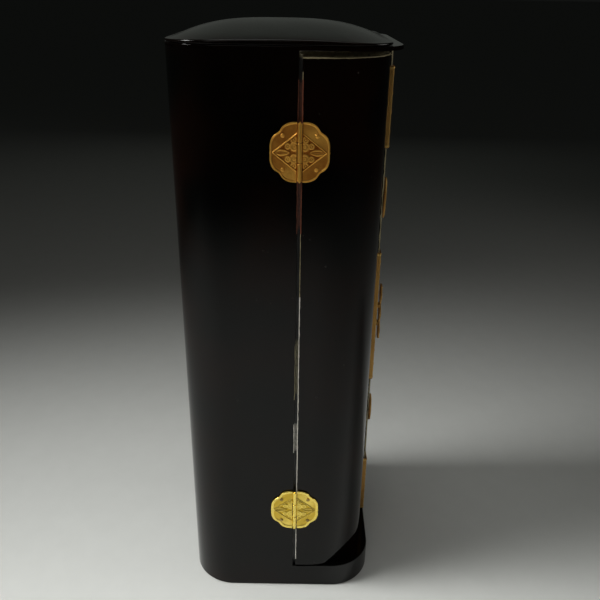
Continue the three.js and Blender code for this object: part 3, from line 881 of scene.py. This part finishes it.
def build_door(side, sizes, finish):
    sign = SIDES[side]
    outline = cabinet_plan(sizes)
    low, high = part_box(f"door_{side}")
    meeting = sign * (high.x if side == "left" else low.x)
    edge = outline.where(SEAM - sizes.seam_gap / 2)
    panel = stepped_panel(f"{side}_door", meeting, edge, sizes)
    panel = soften(panel, on_face, sizes.arris)
    panel = bend(panel, outline, meeting, edge)
    if sign < 0:
        panel = mirrored(panel)
    seam = SEAM - sizes.seam_gap / 2
    wear = [
        ("z", DOOR_HIGH.z - 0.25 * MM, 0.3 * MM, finish.rubbed, [("y", DOOR_TOP_RUBBED_FROM, SEAM)]),
        seam_wear(seam, 0.3 * MM, finish.rubbed, DOOR_RUBBED),
        seam_wear(seam, 0.5 * MM, finish.undercoat, REDDENED),
        # The pale chips on the door's edge are partly painted light
        seam_wear(seam, 0.42 * MM, finish.bare_and_painted_light, DOOR_CHIPPED),
    ]
    materials = [lacquer_material(f"{side}_door_lacquer", finish, wear), gold_leaf_material(finish)]
    for face in panel.polygons:
        x, y, _ = face.center
        face.material_index = 1 if outline.nearest(x, y)[0] > sizes.wall - 0.3 * MM else 0
    piece = finish_piece(f"{side}_door_panel", panel, materials, f"{side}_door", [f"door_{side}"])
    follow_plan(piece, outline)
    return piece


def build_batten(finish):
    """The rounded bar down the middle of the front, its upper and lower ends worked off."""
    half = (BATTEN_HIGH.x - BATTEN_LOW.x) / 2
    back, front = BATTEN_HIGH.y, BATTEN_LOW.y
    mesh = flat_block("centre_batten", (-half, half), (front, back), (BATTEN_LOW.z, BATTEN_HIGH.z))
    edge = 1e-6  # tells the back edges from the others
    mesh = soften(
        mesh, lambda a, b: abs(a.y - front) + abs(b.y - front) < SAME and abs(a.x - b.x) < SAME, 1.5 * MM, 6
    )
    mesh = soften(mesh, lambda a, b: abs(a.z - b.z) < SAME and max(a.y, b.y) < back - edge, 0.3 * MM, 2)
    material = lacquer_material(
        "batten_lacquer",
        finish,
        [
            ("x", side * (half - 0.5 * MM), 0.35 * MM, finish.rubbed, [("y", front, front + 1.2 * MM)])
            for side in (-1, 1)
        ],
    )
    return finish_piece("centre_batten", mesh, [material], "left_door", ["batten"], 40)


# ---- Relief ----
def ridge(distance, half_width):
    """A rounded raised line, 0 to 1, from the distance to its middle."""
    return np.sqrt(np.clip(1 - (distance / half_width) ** 2, 0, 1))


def leaf_relief(along, across, half_length, half_width, line, body):
    """A pointed leaf on the first axis: a raised outline, a shallow cupped body and a vein."""
    reach = np.clip(1 - (along / half_length) ** 2, 1e-4, 1)
    outside = np.where(np.abs(along) >= half_length, 9.0, 0.0)
    share = np.abs(across) / (half_width * reach) + outside
    rim = ridge(share - 1 + line, line * 1.1)
    cup = np.where(share < 1, body + 0.15 * share, 0)
    vein = np.where(share < 0.9, ridge(across, half_width * 0.13) * 0.7, 0)
    return np.maximum(np.maximum(rim, cup), vein)


def ring_relief(x, y, centre, radius, half_width):
    return ridge(np.hypot(x - centre[0], y - centre[1]) - radius, half_width)


ROW_STEP = 0.866  # rows of a close packing, as a share of its pitch


def punched_ground(x, y, pitch):
    """Rows of small domes made with a ring punch."""
    row = np.round(y / (pitch * ROW_STEP))
    shift = (row % 2) * pitch / 2
    column = np.round((x - shift) / pitch)
    return ridge(np.hypot(x - shift - column * pitch, y - row * pitch * ROW_STEP), pitch * 0.46)


def bell(distance, width):
    return np.exp(-((distance / width) ** 2))


LOZENGE_WIDE = 0.92  # half the lozenge's width as a share of the plate's radius
LOZENGE_TALL = 0.72


def hinge_reach(angle):
    """Outline of a hinge plate as a share of its radius: four flat lobes that part on the diagonals."""
    from_cardinal = np.abs(((angle + np.pi / 4) % (np.pi / 2)) - np.pi / 4)
    notch = 0.07 * bell(np.pi / 4 - from_cardinal, 0.16)
    flat = 0.05 * bell(from_cardinal, 0.25)
    tip = 0.014 * bell(from_cardinal, 0.035)
    return 1.035 - notch - flat + tip


def hinge_relief(a, b, rim_width):
    """Relief and gilding of a hinge plate, each 0 to 1, over coordinates in shares of its radius."""
    radius = np.hypot(a, b)
    edge = 1 - radius / hinge_reach(np.arctan2(b, a))
    rim = ridge(np.maximum(edge - rim_width / 2, 0), rim_width / 2)
    lozenge = np.abs(a) / LOZENGE_WIDE + np.abs(b) / LOZENGE_TALL
    frame_line = ridge(lozenge - 0.97, 0.042)
    flower = leaf_relief(np.abs(a) - 0.6, b, 0.29, 0.11, 0.34, 0.05)
    for centre, reach, width in (
        ((0.17, 0.2), 0.12, 0.045), ((0.17, 0.2), 0.035, 0.05), ((0.39, 0.21), 0.075, 0.04),
        ((0.39, 0.21), 0.0, 0.04), ((0.2, 0.43), 0.08, 0.04), ((0.2, 0.43), 0.0, 0.04),
    ):
        flower = np.maximum(flower, ring_relief(np.abs(a), np.abs(b), centre, reach, width))
    flower = np.maximum(flower, ring_relief(a, b, (0.0, 0.0), 0.09, 0.04))
    flower = np.where(lozenge < 0.9, flower, 0)
    ground = punched_ground(a, b, 0.047) * 0.2
    relief = np.maximum.reduce([rim, frame_line, flower, np.where(edge > 0.06, ground, 0)])
    bright_patches = bell(np.hypot(a + 0.3, b + 0.78), 0.34) + bell(np.hypot(a - 0.6, b - 0.55), 0.42)
    fields = 0.22 + 0.6 * bright_patches
    gilding = np.where(lozenge > 0.97, np.maximum(relief, fields), relief * 0.75)
    return relief, gilding


def grid_faces(rows, columns):
    """The quads of a grid of points, and the points of its border in order."""
    index = np.arange(rows * columns).reshape(rows, columns)
    quads = np.stack([index[:-1, :-1], index[:-1, 1:], index[1:, 1:], index[1:, :-1]], axis=-1)
    border = [index[0, :], index[1:, -1], index[-1, -2::-1], index[-2:0:-1, 0]]
    return quads.reshape(-1, 4).tolist(), np.concatenate(border).tolist()


def relief_slab(name, front, back):
    """A closed slab from a grid of front points, (rows, columns, 3), and the back points along its border."""
    rows, columns, _ = front.shape
    faces, border = grid_faces(rows, columns)
    start, count = rows * columns, len(border)
    points = np.concatenate([front.reshape(-1, 3), back.reshape(-1, 3)[border]])
    for i in range(count):
        j = (i + 1) % count
        faces.append((border[j], border[i], start + i, start + j))
    faces.append(tuple(range(start, start + count)))
    return mesh_from(name, points.tolist(), faces)


def set_relief(mesh, values):
    """Stores the relief as a surface value that the metal's tarnish follows."""
    layer = mesh.attributes.new("relief", "FLOAT", "POINT")
    layer.data.foreach_set("value", np.asarray(values, dtype=np.float32))


# ---- Hinges ----
RIM_WIDTHS = {"upper": 0.07, "lower": 0.12}  # as shares of the plate's radius
LEAF_COLUMNS = 72
LEAF_ROWS = 230
HINGE_OUT = HINGE_AXIS - SIDE  # from the side of the case to the axis


def hinge_leaf_mesh(sizes, towards_back, rim_width):
    """One leaf in the hinge's own frame: x outwards, y along the face, z up, the seam at y = 0."""
    side = 1 if towards_back else -1
    radius = sizes.hinge_radius
    near = sizes.barrel_radius + sizes.clearance
    limit = math.acos(near / (radius * 1.01))
    angles = np.linspace(-limit, limit, LEAF_ROWS)
    share = np.linspace(0, 1, LEAF_COLUMNS)
    outer_y = radius * hinge_reach(angles) * np.cos(angles)
    outer_z = radius * hinge_reach(angles) * np.sin(angles)
    outer_y[0] = outer_y[-1] = near + 0.02 * MM
    along = near + (outer_y[:, None] - near) * share[None, :]
    up = np.broadcast_to(outer_z[:, None], along.shape)
    relief, gilding = hinge_relief(side * -along / radius, up / radius, rim_width)
    top = sizes.clearance + sizes.leaf
    ground = top - sizes.relief
    out = ground + sizes.relief * relief
    out[:, -1] = top - 0.1 * MM
    front = np.stack([out, side * along, up], axis=-1)
    back = np.stack([np.full_like(out, sizes.clearance), side * along, up], axis=-1)
    mesh = relief_slab("leaf", front, back)
    border = len(mesh.vertices) - front.shape[0] * front.shape[1]
    set_relief(mesh, np.concatenate([gilding.reshape(-1), np.full(border, 0.2)]))
    if not towards_back:
        mesh.flip_normals()
    return mesh


def lathe(name, profile, axis_point, axis, facets=24):
    """A closed turned solid from (radius, place) pairs, along x or z."""
    rows = []
    for radius, place in profile:
        rows.append([])
        for step in range(facets):
            angle = 2 * math.pi * step / facets
            c, s = radius * math.cos(angle), radius * math.sin(angle)
            offset = (c, s, place) if axis == "z" else (place, c, s)
            rows[-1].append(tuple(start + reach for start, reach in zip(axis_point, offset)))
    return stacked(name, rows)


def knuckle_mesh(sizes, low, high):
    radius = sizes.barrel_radius
    soft = 0.18 * MM
    profile = [(radius - soft, low), (radius, low + soft), (radius, high - soft), (radius - soft, high)]
    return lathe("knuckle", profile, (HINGE_OUT, 0.0, 0.0), "z")


def web_mesh(sizes, towards_back, low, high):
    """The strip of sheet that joins a knuckle to its leaf."""
    side = 1 if towards_back else -1
    reach = sizes.barrel_radius + sizes.clearance + 0.35 * MM
    across = sorted((0.0, side * reach))
    outward = (sizes.clearance + 0.02 * MM, sizes.clearance + sizes.leaf - sizes.relief - 0.12 * MM)
    return flat_block("web", outward, across, (low + 0.1 * MM, high - 0.1 * MM))


def place_on_side(mesh, side, height):
    """Moves a mesh from the hinge's own frame to the case, mirrored on the left."""
    sign = SIDES[side]
    if sign < 0:
        mesh = mirrored(mesh)
    mesh.transform(Matrix.Translation((sign * SIDE, SEAM, height)))
    return mesh


def hinge_leaf(sizes, towards_back, rim_width):
    plate = hinge_leaf_mesh(sizes, towards_back, rim_width)
    inner, outer, gap = sizes.knuckle_half, sizes.barrel_half, sizes.clearance
    spans = [(-outer, -inner - gap), (inner + gap, outer)] if towards_back else [(-inner, inner)]
    parts = [plate]
    for low, high in spans:
        parts += [knuckle_mesh(sizes, low, high), web_mesh(sizes, towards_back, low, high)]
    for part in parts[1:]:
        set_relief(part, [0.8] * len(part.vertices))
    return joined(parts, "leaf")


def build_hinges(sizes, finish):
    metals = {
        "upper": gilt_material("deep_gilt", finish.gilt, finish.tarnish, 1.0, 0.34),
        # The lower hinges' paler colours are partly painted light
        "lower": gilt_material("pale_gilt", finish.pale_gilt, finish.old_gilt_with_painted_light, 1.0, 0.2, 0.04 * MM),
    }
    owners = {"case": True, "door": False}
    for owner, towards_back in owners.items():
        for level, height in HINGE_LEVELS.items():
            leaf = hinge_leaf(sizes, towards_back, RIM_WIDTHS[level])
            for side in SIDES:
                mesh = place_on_side(leaf.copy(), side, height)
                body = "case" if owner == "case" else f"{side}_door"
                nodes = [f"hinge_{owner}_leaf_{side}_{level}"]
                name = f"{owner}_leaf_{side}_{level}"
                finish_piece(name, mesh, [metals[level]], body, nodes, 50)
    reach = sizes.barrel_half + 0.55 * MM
    thick = sizes.pin_radius
    profile = [(0.12 * MM, -reach), (thick * 0.8, -reach + 0.12 * MM), (thick, -reach + 0.3 * MM)]
    profile += [(radius, -place) for radius, place in reversed(profile)]
    for level, height in HINGE_LEVELS.items():
        for side in SIDES:
            pin = place_on_side(lathe("pin", profile, (HINGE_OUT, 0.0, 0.0), "z", 16), side, height)
            set_relief(pin, [0.9] * len(pin.vertices))
            nodes = [f"hinge_pin_{side}_{level}"]
            finish_piece(f"pin_{side}_{level}", pin, [metals[level]], "case", nodes)


def build_nails(sizes, finish):
    """Dome-headed nails on the diagonals of each plate."""
    metals = {
        "upper": gilt_material("nail_gilt", finish.gilt, finish.tarnish, 0.9, 0.4),
        "lower": gilt_material("nail_dark", finish.brass, finish.lacquer, 0.9, 0.4),
    }
    reach = 0.79 * sizes.hinge_radius * math.sqrt(0.5)
    seat = sizes.clearance + sizes.leaf - sizes.relief + 0.2 * MM
    head = sizes.nail_radius
    dome = [(head * math.cos(t), seat + 0.12 * MM + 0.38 * MM * math.sin(t)) for t in np.linspace(0, 1.45, 7)]
    shank, under = 0.4 * MM, seat - 0.05 * MM
    profile = [(shank, sizes.clearance * 0.2), (shank, under), (head * 0.9, under), (head, seat + 0.05 * MM)]
    profile += dome
    for level, height in HINGE_LEVELS.items():
        for side in SIDES:
            for owner, direction in (("case", 1), ("door", -1)):
                for row, up in (("top", 1), ("bottom", -1)):
                    nail = lathe("nail", profile, (0.0, direction * reach, up * reach), "x", 20)
                    nail = place_on_side(nail, side, height)
                    set_relief(nail, [0.7] * len(nail.vertices))
                    name = f"nail_head_{owner}_{row}_{side}_{level}"
                    body = "case" if owner == "case" else f"{side}_door"
                    nodes = [f"nail_{owner}_{row}_{side}_{level}"]
                    finish_piece(name, nail, [metals[level]], body, nodes, 60)


# ---- Fittings of the batten ----
def vine_relief(across, up, half_width):
    """A scrolling vine with curls and leaves between raised borders; lengths in metres."""
    period = 9.0 * MM
    swing = half_width * 0.5
    phase = 2 * np.pi * up / period
    vine = swing * np.sin(phase)
    slope = swing * 2 * np.pi / period * np.cos(phase)
    stem = ridge((across - vine) / np.sqrt(1 + slope**2), 0.32 * MM)
    raised = stem
    turn = np.floor(phase / np.pi)
    sign = np.where(turn % 2 == 0, -1.0, 1.0)
    middle = (turn + 0.5) * np.pi * period / (2 * np.pi)
    for radius, share in ((1.35 * MM, 1.0), (0.62 * MM, 0.9)):
        hoop = ridge(np.hypot(across - sign * half_width * 0.38, up - middle) - radius, 0.26 * MM) * share
        raised = np.maximum(raised, hoop)
    bud = ridge(np.hypot(across + sign * half_width * 0.78, (up - middle) * 0.6), 0.55 * MM)
    raised = np.maximum(raised, bud)
    border = ridge(np.abs(across) - half_width * 0.97, 0.3 * MM)
    ground = punched_ground(across, up, 0.6 * MM) * 0.28
    return np.maximum(np.maximum(raised, border), ground)


def build_sleeve(node, sizes, material):
    """Sheet folded round the batten's front and sides, with a chased front and plain edges."""
    low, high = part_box(node)
    half = (high.x - low.x) / 2
    front, back = low.y, high.y
    corner = 0.9 * MM
    side_run = back - front - corner
    turn_run = corner * math.pi / 2
    face_run = 2 * (half - corner)
    total = 2 * side_run + 2 * turn_run + face_run
    columns = 96
    walk = np.linspace(0, total, columns)
    rows = max(40, int((high.z - low.z) / (0.4 * MM)))
    heights = np.linspace(low.z, high.z, rows)
    outside, inside, across = [], [], []
    for place in walk:
        mirrored = place > total / 2
        s = total - place if mirrored else place
        if s <= side_run:
            spot, normal, reach = Vector((-half, back - s)), Vector((-1, 0)), -half
        elif s <= side_run + turn_run:
            angle = math.pi + (s - side_run) / corner
            normal = Vector((math.cos(angle), math.sin(angle)))
            spot = Vector((-half + corner, front + corner)) + normal * corner
            reach = spot.x
        else:
            normal = Vector((0, -1))
            spot = Vector((-half + corner + s - side_run - turn_run, front))
            reach = spot.x
        flip = -1 if mirrored else 1
        outside.append((flip * spot.x, spot.y, flip * normal.x, normal.y))
        inside.append((flip * (spot.x - normal.x * sizes.sheet), spot.y - normal.y * sizes.sheet))
        across.append(flip * reach)
    outside, inside, across = np.array(outside), np.array(inside), np.array(across)
    middle = (low.z + high.z) / 2
    relief = vine_relief(across[None, :], heights[:, None] - middle, half)
    facing = np.clip(-outside[:, 3], 0, 1)[None, :] ** 2
    ends = np.minimum(heights - low.z, high.z - heights)[:, None]
    end_border = ridge(ends - 0.9 * MM, 0.5 * MM)
    relief = relief * facing + (1 - facing) * 0.35
    relief = np.where(ends < 1.4 * MM, np.maximum(end_border, 0.2), relief)
    depth = sizes.relief * 0.8 * (1 - relief)
    x = outside[None, :, 0] - outside[None, :, 2] * depth
    y = outside[None, :, 1] - outside[None, :, 3] * depth
    z = np.repeat(heights[:, None], columns, axis=1)
    top = np.stack([x, y, z], axis=-1)
    under = np.stack(
        [np.repeat(inside[None, :, 0], rows, 0), np.repeat(inside[None, :, 1], rows, 0), z], axis=-1
    )
    shift = rows * columns
    quads, border = grid_faces(rows, columns)
    faces = quads + [[point + shift for point in reversed(quad)] for quad in quads]
    for here, following in zip(border, border[1:] + border[:1]):
        faces.append((following, here, here + shift, following + shift))
    points = np.concatenate([top.reshape(-1, 3), under.reshape(-1, 3)])
    mesh = mesh_from(node, points.tolist(), faces)
    set_relief(mesh, np.concatenate([relief.reshape(-1), np.full(shift, 0.1)]))
    with edited(mesh) as shaped:
        face_outwards(shaped)
    return finish_piece(f"chased_{node}", mesh, [material], "left_door", [node], 55)


def dome_mesh(name, centre, half_x, half_z, depth, front, turn=0.0):
    """A petal: an oval cushion standing on y = front + depth, bulging forwards, turned about y."""
    rings, facets = 7, 28
    points, faces = [], []
    c, s = math.cos(turn), math.sin(turn)
    back = front + depth
    for ring in range(rings):
        lift = math.pi / 2 * ring / rings
        for step in range(facets):
            angle = 2 * math.pi * step / facets
            u = half_x * math.cos(lift) * math.cos(angle)
            v = half_z * math.cos(lift) * math.sin(angle)
            y = back - depth * (0.45 + 0.55 * math.sin(lift))
            points.append((centre[0] + u * c - v * s, y, centre[1] + u * s + v * c))
    base = [(p[0], back, p[2]) for p in points[:facets]]
    points = base + points + [(centre[0], front, centre[1])]
    faces.append(tuple(range(facets)))
    faces += [tuple(reversed(face)) for face in band_faces(rings + 1, facets)]
    last = facets * rings
    faces += [(last + (i + 1) % facets, last + i, len(points) - 1) for i in range(facets)]
    mesh = mesh_from(name, points, faces)
    with edited(mesh) as shaped:
        face_outwards(shaped)
    return mesh


def oval_rim(name, centre_z, half_x, half_z, width, front, back):
    """A flattened oval ring with a rounded face."""
    facets, section_steps = 64, 8
    turns = [math.pi * step / section_steps for step in range(section_steps + 1)]
    section = [(0.5 - 0.5 * math.cos(turn), 0.55 * math.sin(turn)) for turn in turns]
    depth = back - front
    rows = [(0.0, back)] + [(share * width, back - depth * (0.45 + lift)) for share, lift in section]
    rows += [(width, back)]
    points = []
    for inset, y in rows:
        for step in range(facets):
            angle = 2 * math.pi * step / facets
            across, up = (half_x - inset) * math.cos(angle), (half_z - inset) * math.sin(angle)
            points.append((across, y, centre_z + up))
    last = facets * (len(rows) - 1)
    faces = band_faces(len(rows), facets)
    faces += [(last + i, last + (i + 1) % facets, (i + 1) % facets, i) for i in range(facets)]
    mesh = mesh_from(name, points, faces)
    with edited(mesh) as shaped:
        bmesh.ops.remove_doubles(shaped, verts=shaped.verts, dist=SAME / 10)
        face_outwards(shaped)
    return mesh


def build_mounts(finish):
    """Pierced oval flower mounts on the uncovered stretches of the batten."""
    material = gilt_material("mount_brass", finish.brass, finish.tarnish, 0.8, 0.38)
    for node in ("mount_upper", "mount_lower"):
        low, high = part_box(node)
        middle = (low.z + high.z) / 2
        half_x, half_z = (high.x - low.x) / 2, (high.z - low.z) / 2
        back, front = high.y, low.y + 0.4 * MM
        parts = [oval_rim(node, middle, half_x, half_z, 1.05 * MM, front, back)]
        for quarter in range(4):
            upright = quarter % 2 == 1
            arm = (half_z if upright else half_x) - 0.7 * MM
            turn = quarter * math.pi / 2
            centre = (math.cos(turn) * arm / 2, middle + math.sin(turn) * arm / 2)
            width = 1.3 * MM if upright else 1.05 * MM
            parts.append(dome_mesh("petal", centre, arm / 2, width, back - front, front, turn))
        parts.append(dome_mesh("eye", (0.0, middle), 1.6 * MM, 1.6 * MM, back - low.y, low.y))
        mesh = joined(parts, node)
        heights = [(back - v.co.y) / (back - low.y) for v in mesh.vertices]
        set_relief(mesh, heights)
        finish_piece(f"flower_{node}", mesh, [material], "left_door", [node], 50)


LATCH_POSTS = (146 * MM, 157 * MM)  # heights of the two posts


def build_latch(finish):
    """The pierced latch plate on its two posts."""
    low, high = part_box("latch_plate")
    middle, half = (low.z + high.z) / 2, (high.z - low.z) / 2
    thickness = 0.95 * MM
    curve = bpy.data.curves.new("latch_outline", "CURVE")
    curve.dimensions = "2D"
    curve.fill_mode = "BOTH"
    edge = 0.18 * MM
    curve.extrude = thickness / 2 - edge
    curve.bevel_depth = edge
    curve.bevel_resolution = 2
    waves = 61
    right = []
    for i in range(waves):
        t = -1 + 2 * i / (waves - 1)
        width = (2.6 + 1.15 * math.cos(3 * math.pi * t) * (1 - t**4)) * MM
        if i in (0, waves - 1):
            width = 0.9 * MM
        right.append((width - edge, t * (half - edge)))
    outline = right + [(-x, z) for x, z in reversed(right)]
    turns = [2 * math.pi * step / 24 for step in range(24)]
    hole_x, hole_z = 1.15 * MM + edge, 1.9 * MM + edge
    loops = [outline]
    for share in (-0.74, -0.37, 0.0, 0.37, 0.74):
        loops.append([(hole_x * math.cos(turn), share * half + hole_z * math.sin(turn)) for turn in turns])
    for loop in loops:
        spline = curve.splines.new("POLY")
        spline.points.add(len(loop) - 1)
        for point, (x, z) in zip(spline.points, loop):
            point.co = (x, z, 0.0, 1.0)
        spline.use_cyclic_u = True
    drawn = loose_object("latch_outline", curve)
    bpy.context.view_layer.update()
    plate = evaluated_mesh(drawn)
    bpy.data.objects.remove(drawn)
    plate.transform(Matrix.Rotation(math.pi / 2, 4, "X"))
    plate.transform(Matrix.Translation((0.0, low.y + thickness / 2, middle)))
    with edited(plate) as shaped:
        bmesh.ops.remove_doubles(shaped, verts=shaped.verts, dist=SAME)
        face_outwards(shaped)
    parts = [plate]
    for height in LATCH_POSTS:
        depth = (low.y + thickness * 0.6, high.y)
        post = flat_block("post", (-1.9 * MM, 1.9 * MM), depth, (height - 1 * MM, height + 1 * MM))
        parts.append(soften(post, lambda a, b: abs(a.y - b.y) > 0.1 * MM, 0.3 * MM, 2))
    mesh = joined(parts, "latch")
    set_relief(mesh, [0.9 if v.co.y < low.y + 0.1 * MM else 0.3 for v in mesh.vertices])
    material = gilt_material("latch_brass", finish.brass, finish.tarnish, 0.7, 0.38)
    return finish_piece("latch", mesh, [material], "left_door", ["latch_plate"], 40)


# ---- Stage ----
def floor_material(finish):
    """Plain matt pale paper."""
    material, tree, shader, place = start_material("floor_paper")
    mottle = times(tree, noise(tree, place, 60.0, 5.0, 0.6), 0.08)
    shade = blended(tree, mottle, opaque(finish.floor), (0.0, 0.0, 0.0, 1.0))
    feed_all(tree, shader, {"Base Color": shade, "Roughness": 0.9, "Specular IOR Level": 0.1})
    add_bump(tree, shader, noise(tree, place, 900.0, 3.0, 0.6), 0.05 * MM)
    return material


# Each light's name, size, power in watts, tint, position, aim and spread in degrees
LIGHTS = (
    ("key_softbox", (0.5, 0.5), 1.6, (1.0, 1.0, 0.98), (-0.22, 1.0, 0.95), (-0.22, 0.1, 0.0), 36.0),
    ("overhead_softbox", (0.6, 0.6), 0.22, (0.98, 1.0, 0.97), (-0.15, 0.1, 1.15), (-0.2, 0.0, 0.0), 40.0),
    ("far_panel", (0.9, 0.6), 0.12, (0.93, 1.0, 0.9), (1.1, 0.0, 0.62), (0.0, 0.0, 0.3), 180.0),
    ("front_softbox", (0.9, 0.4), 0.5, (1.0, 0.98, 0.94), (0.0, -1.3, 0.56), (0.0, 0.0, 0.17), 60.0),
    ("camera_fill", (0.25, 0.25), 0.3, (1.0, 0.96, 0.9), (-0.62, 0.14, 0.5), (-0.05, 0.0, 0.22), 180.0),
)
ROOM = (0.006, 0.0065, 0.006, 1.0)
FLOOR_HALF = 30.0
FLOOR_DROP = 0.05 * MM  # keeps the floor clear of the plinth's underside


def soft_light(name, size, power, tint, position, aim, spread_angle):
    data = bpy.data.lights.new(name, "AREA")
    data.shape = "RECTANGLE"
    data.size, data.size_y = size
    data.energy = power
    data.color = tint
    data.spread = math.radians(spread_angle)
    lamp = loose_object(name, data)
    lamp.location = position
    lamp.rotation_euler = (Vector(aim) - Vector(position)).to_track_quat("-Z", "Y").to_euler()
    lamp.visible_camera = False


def build_stage(studio, finish):
    corners = [(x * FLOOR_HALF, y * FLOOR_HALF, 0) for x, y in ((-1, -1), (1, -1), (1, 1), (-1, 1))]
    floor = mesh_from("floor", corners, [(0, 1, 2, 3)])
    floor.materials.append(floor_material(finish))
    ground = loose_object("floor", floor)
    ground.location.z = -FLOOR_DROP

    camera = loose_object("camera", bpy.data.cameras.new("camera"))
    camera.data.lens = studio.lens
    camera.data.sensor_width = 36.0
    camera.data.clip_start = 0.01
    forward = Vector((math.cos(studio.pitch), 0.0, -math.sin(studio.pitch)))
    right = Vector((0.0, -1.0, 0.0))
    up = right.cross(forward)
    tilted = right * math.cos(studio.roll) + up * math.sin(studio.roll)
    upright = up * math.cos(studio.roll) - right * math.sin(studio.roll)
    place = Matrix((tilted, upright, -forward)).transposed().to_4x4()
    place.translation = (-SIDE - studio.distance, studio.along, studio.height)
    camera.matrix_world = place
    bpy.context.scene.camera = camera

    for light in LIGHTS:
        soft_light(*light)
    world = bpy.data.worlds.new("dim_room")
    world.use_nodes = True
    background = world.node_tree.nodes["Background"]
    feed_all(world.node_tree, background, {"Color": ROOM, "Strength": 1.0})
    bpy.context.scene.world = world
    bpy.context.scene.view_settings.view_transform = "Standard"


# ---- Operators and panel ----
class SHRINE_OT_case(bpy.types.Operator):
    """Build the lacquered case: back, plinth, head board and door stops"""

    bl_idname = "shrine.case"
    bl_label = "Case"

    def execute(self, context):
        build_carcass(context.scene.shrine_case, context.scene.shrine_finish)
        return {"FINISHED"}


class SHRINE_OT_roof(bpy.types.Operator):
    """Build the domed roof"""

    bl_idname = "shrine.roof"
    bl_label = "Roof"

    def execute(self, context):
        build_roof(context.scene.shrine_roof, context.scene.shrine_case, context.scene.shrine_finish)
        return {"FINISHED"}


class SHRINE_OT_doors(bpy.types.Operator):
    """Build the two doors that wrap round the front corners"""

    bl_idname = "shrine.doors"
    bl_label = "Doors"

    def execute(self, context):
        for side in SIDES:
            build_door(side, context.scene.shrine_case, context.scene.shrine_finish)
        return {"FINISHED"}


class SHRINE_OT_batten(bpy.types.Operator):
    """Build the batten down the middle of the front"""

    bl_idname = "shrine.batten"
    bl_label = "Batten"

    def execute(self, context):
        build_batten(context.scene.shrine_finish)
        return {"FINISHED"}


class SHRINE_OT_sleeves(bpy.types.Operator):
    """Build the chased sheet sleeves on the batten"""

    bl_idname = "shrine.sleeves"
    bl_label = "Sleeves"

    def execute(self, context):
        finish = context.scene.shrine_finish
        material = gilt_material("sleeve_brass", finish.brass, finish.tarnish, 0.75, 0.38)
        for node in ("sleeve_lower", "sleeve_middle", "sleeve_upper"):
            build_sleeve(node, context.scene.shrine_metal, material)
        return {"FINISHED"}


class SHRINE_OT_mounts(bpy.types.Operator):
    """Build the pierced flower mounts"""

    bl_idname = "shrine.mounts"
    bl_label = "Flower mounts"

    def execute(self, context):
        build_mounts(context.scene.shrine_finish)
        return {"FINISHED"}


class SHRINE_OT_latch(bpy.types.Operator):
    """Build the latch plate"""

    bl_idname = "shrine.latch"
    bl_label = "Latch"

    def execute(self, context):
        build_latch(context.scene.shrine_finish)
        return {"FINISHED"}


class SHRINE_OT_hinges(bpy.types.Operator):
    """Build the flower-plate hinges and their pins"""

    bl_idname = "shrine.hinges"
    bl_label = "Hinges"

    def execute(self, context):
        build_hinges(context.scene.shrine_metal, context.scene.shrine_finish)
        return {"FINISHED"}


class SHRINE_OT_nails(bpy.types.Operator):
    """Build the dome-headed nails of the hinges"""

    bl_idname = "shrine.nails"
    bl_label = "Nails"

    def execute(self, context):
        build_nails(context.scene.shrine_metal, context.scene.shrine_finish)
        return {"FINISHED"}


class SHRINE_OT_stage(bpy.types.Operator):
    """Build the floor, the lights and the camera"""

    bl_idname = "shrine.stage"
    bl_label = "Stage"

    def execute(self, context):
        build_stage(context.scene.shrine_studio, context.scene.shrine_finish)
        return {"FINISHED"}


OPERATORS = (
    SHRINE_OT_case,
    SHRINE_OT_roof,
    SHRINE_OT_doors,
    SHRINE_OT_batten,
    SHRINE_OT_sleeves,
    SHRINE_OT_mounts,
    SHRINE_OT_latch,
    SHRINE_OT_hinges,
    SHRINE_OT_nails,
    SHRINE_OT_stage,
)
SETTINGS = {
    "shrine_case": ShrineCase,
    "shrine_roof": ShrineRoof,
    "shrine_metal": ShrineMetal,
    "shrine_finish": ShrineFinish,
    "shrine_studio": ShrineStudio,
}


class SHRINE_PT_panel(bpy.types.Panel):
    """Lists the shrine's pieces and its settings"""

    bl_idname = "SHRINE_PT_panel"
    bl_label = "Portable Shrine"
    bl_space_type = "VIEW_3D"
    bl_region_type = "UI"
    bl_category = "Shrine"

    def draw(self, context):
        for operator in OPERATORS:
            self.layout.operator(operator.bl_idname)
        for label, group in SETTINGS.items():
            box = self.layout.box()
            box.label(text=label.replace("_", " ").title())
            for key in group.__annotations__:
                box.prop(getattr(context.scene, label), key)


def register():
    for group in SETTINGS.values():
        bpy.utils.register_class(group)
    for label, group in SETTINGS.items():
        setattr(bpy.types.Scene, label, PointerProperty(type=group))
    for operator in OPERATORS:
        bpy.utils.register_class(operator)
    bpy.utils.register_class(SHRINE_PT_panel)


def unregister():
    bpy.utils.unregister_class(SHRINE_PT_panel)
    for operator in reversed(OPERATORS):
        bpy.utils.unregister_class(operator)
    for label in SETTINGS:
        delattr(bpy.types.Scene, label)
    for group in SETTINGS.values():
        bpy.utils.unregister_class(group)


def main():
    register()
    build_effects()
    for operator in OPERATORS:
        family, action = operator.bl_idname.split(".")
        getattr(getattr(bpy.ops, family), action)()


if __name__ == "__main__":
    main()
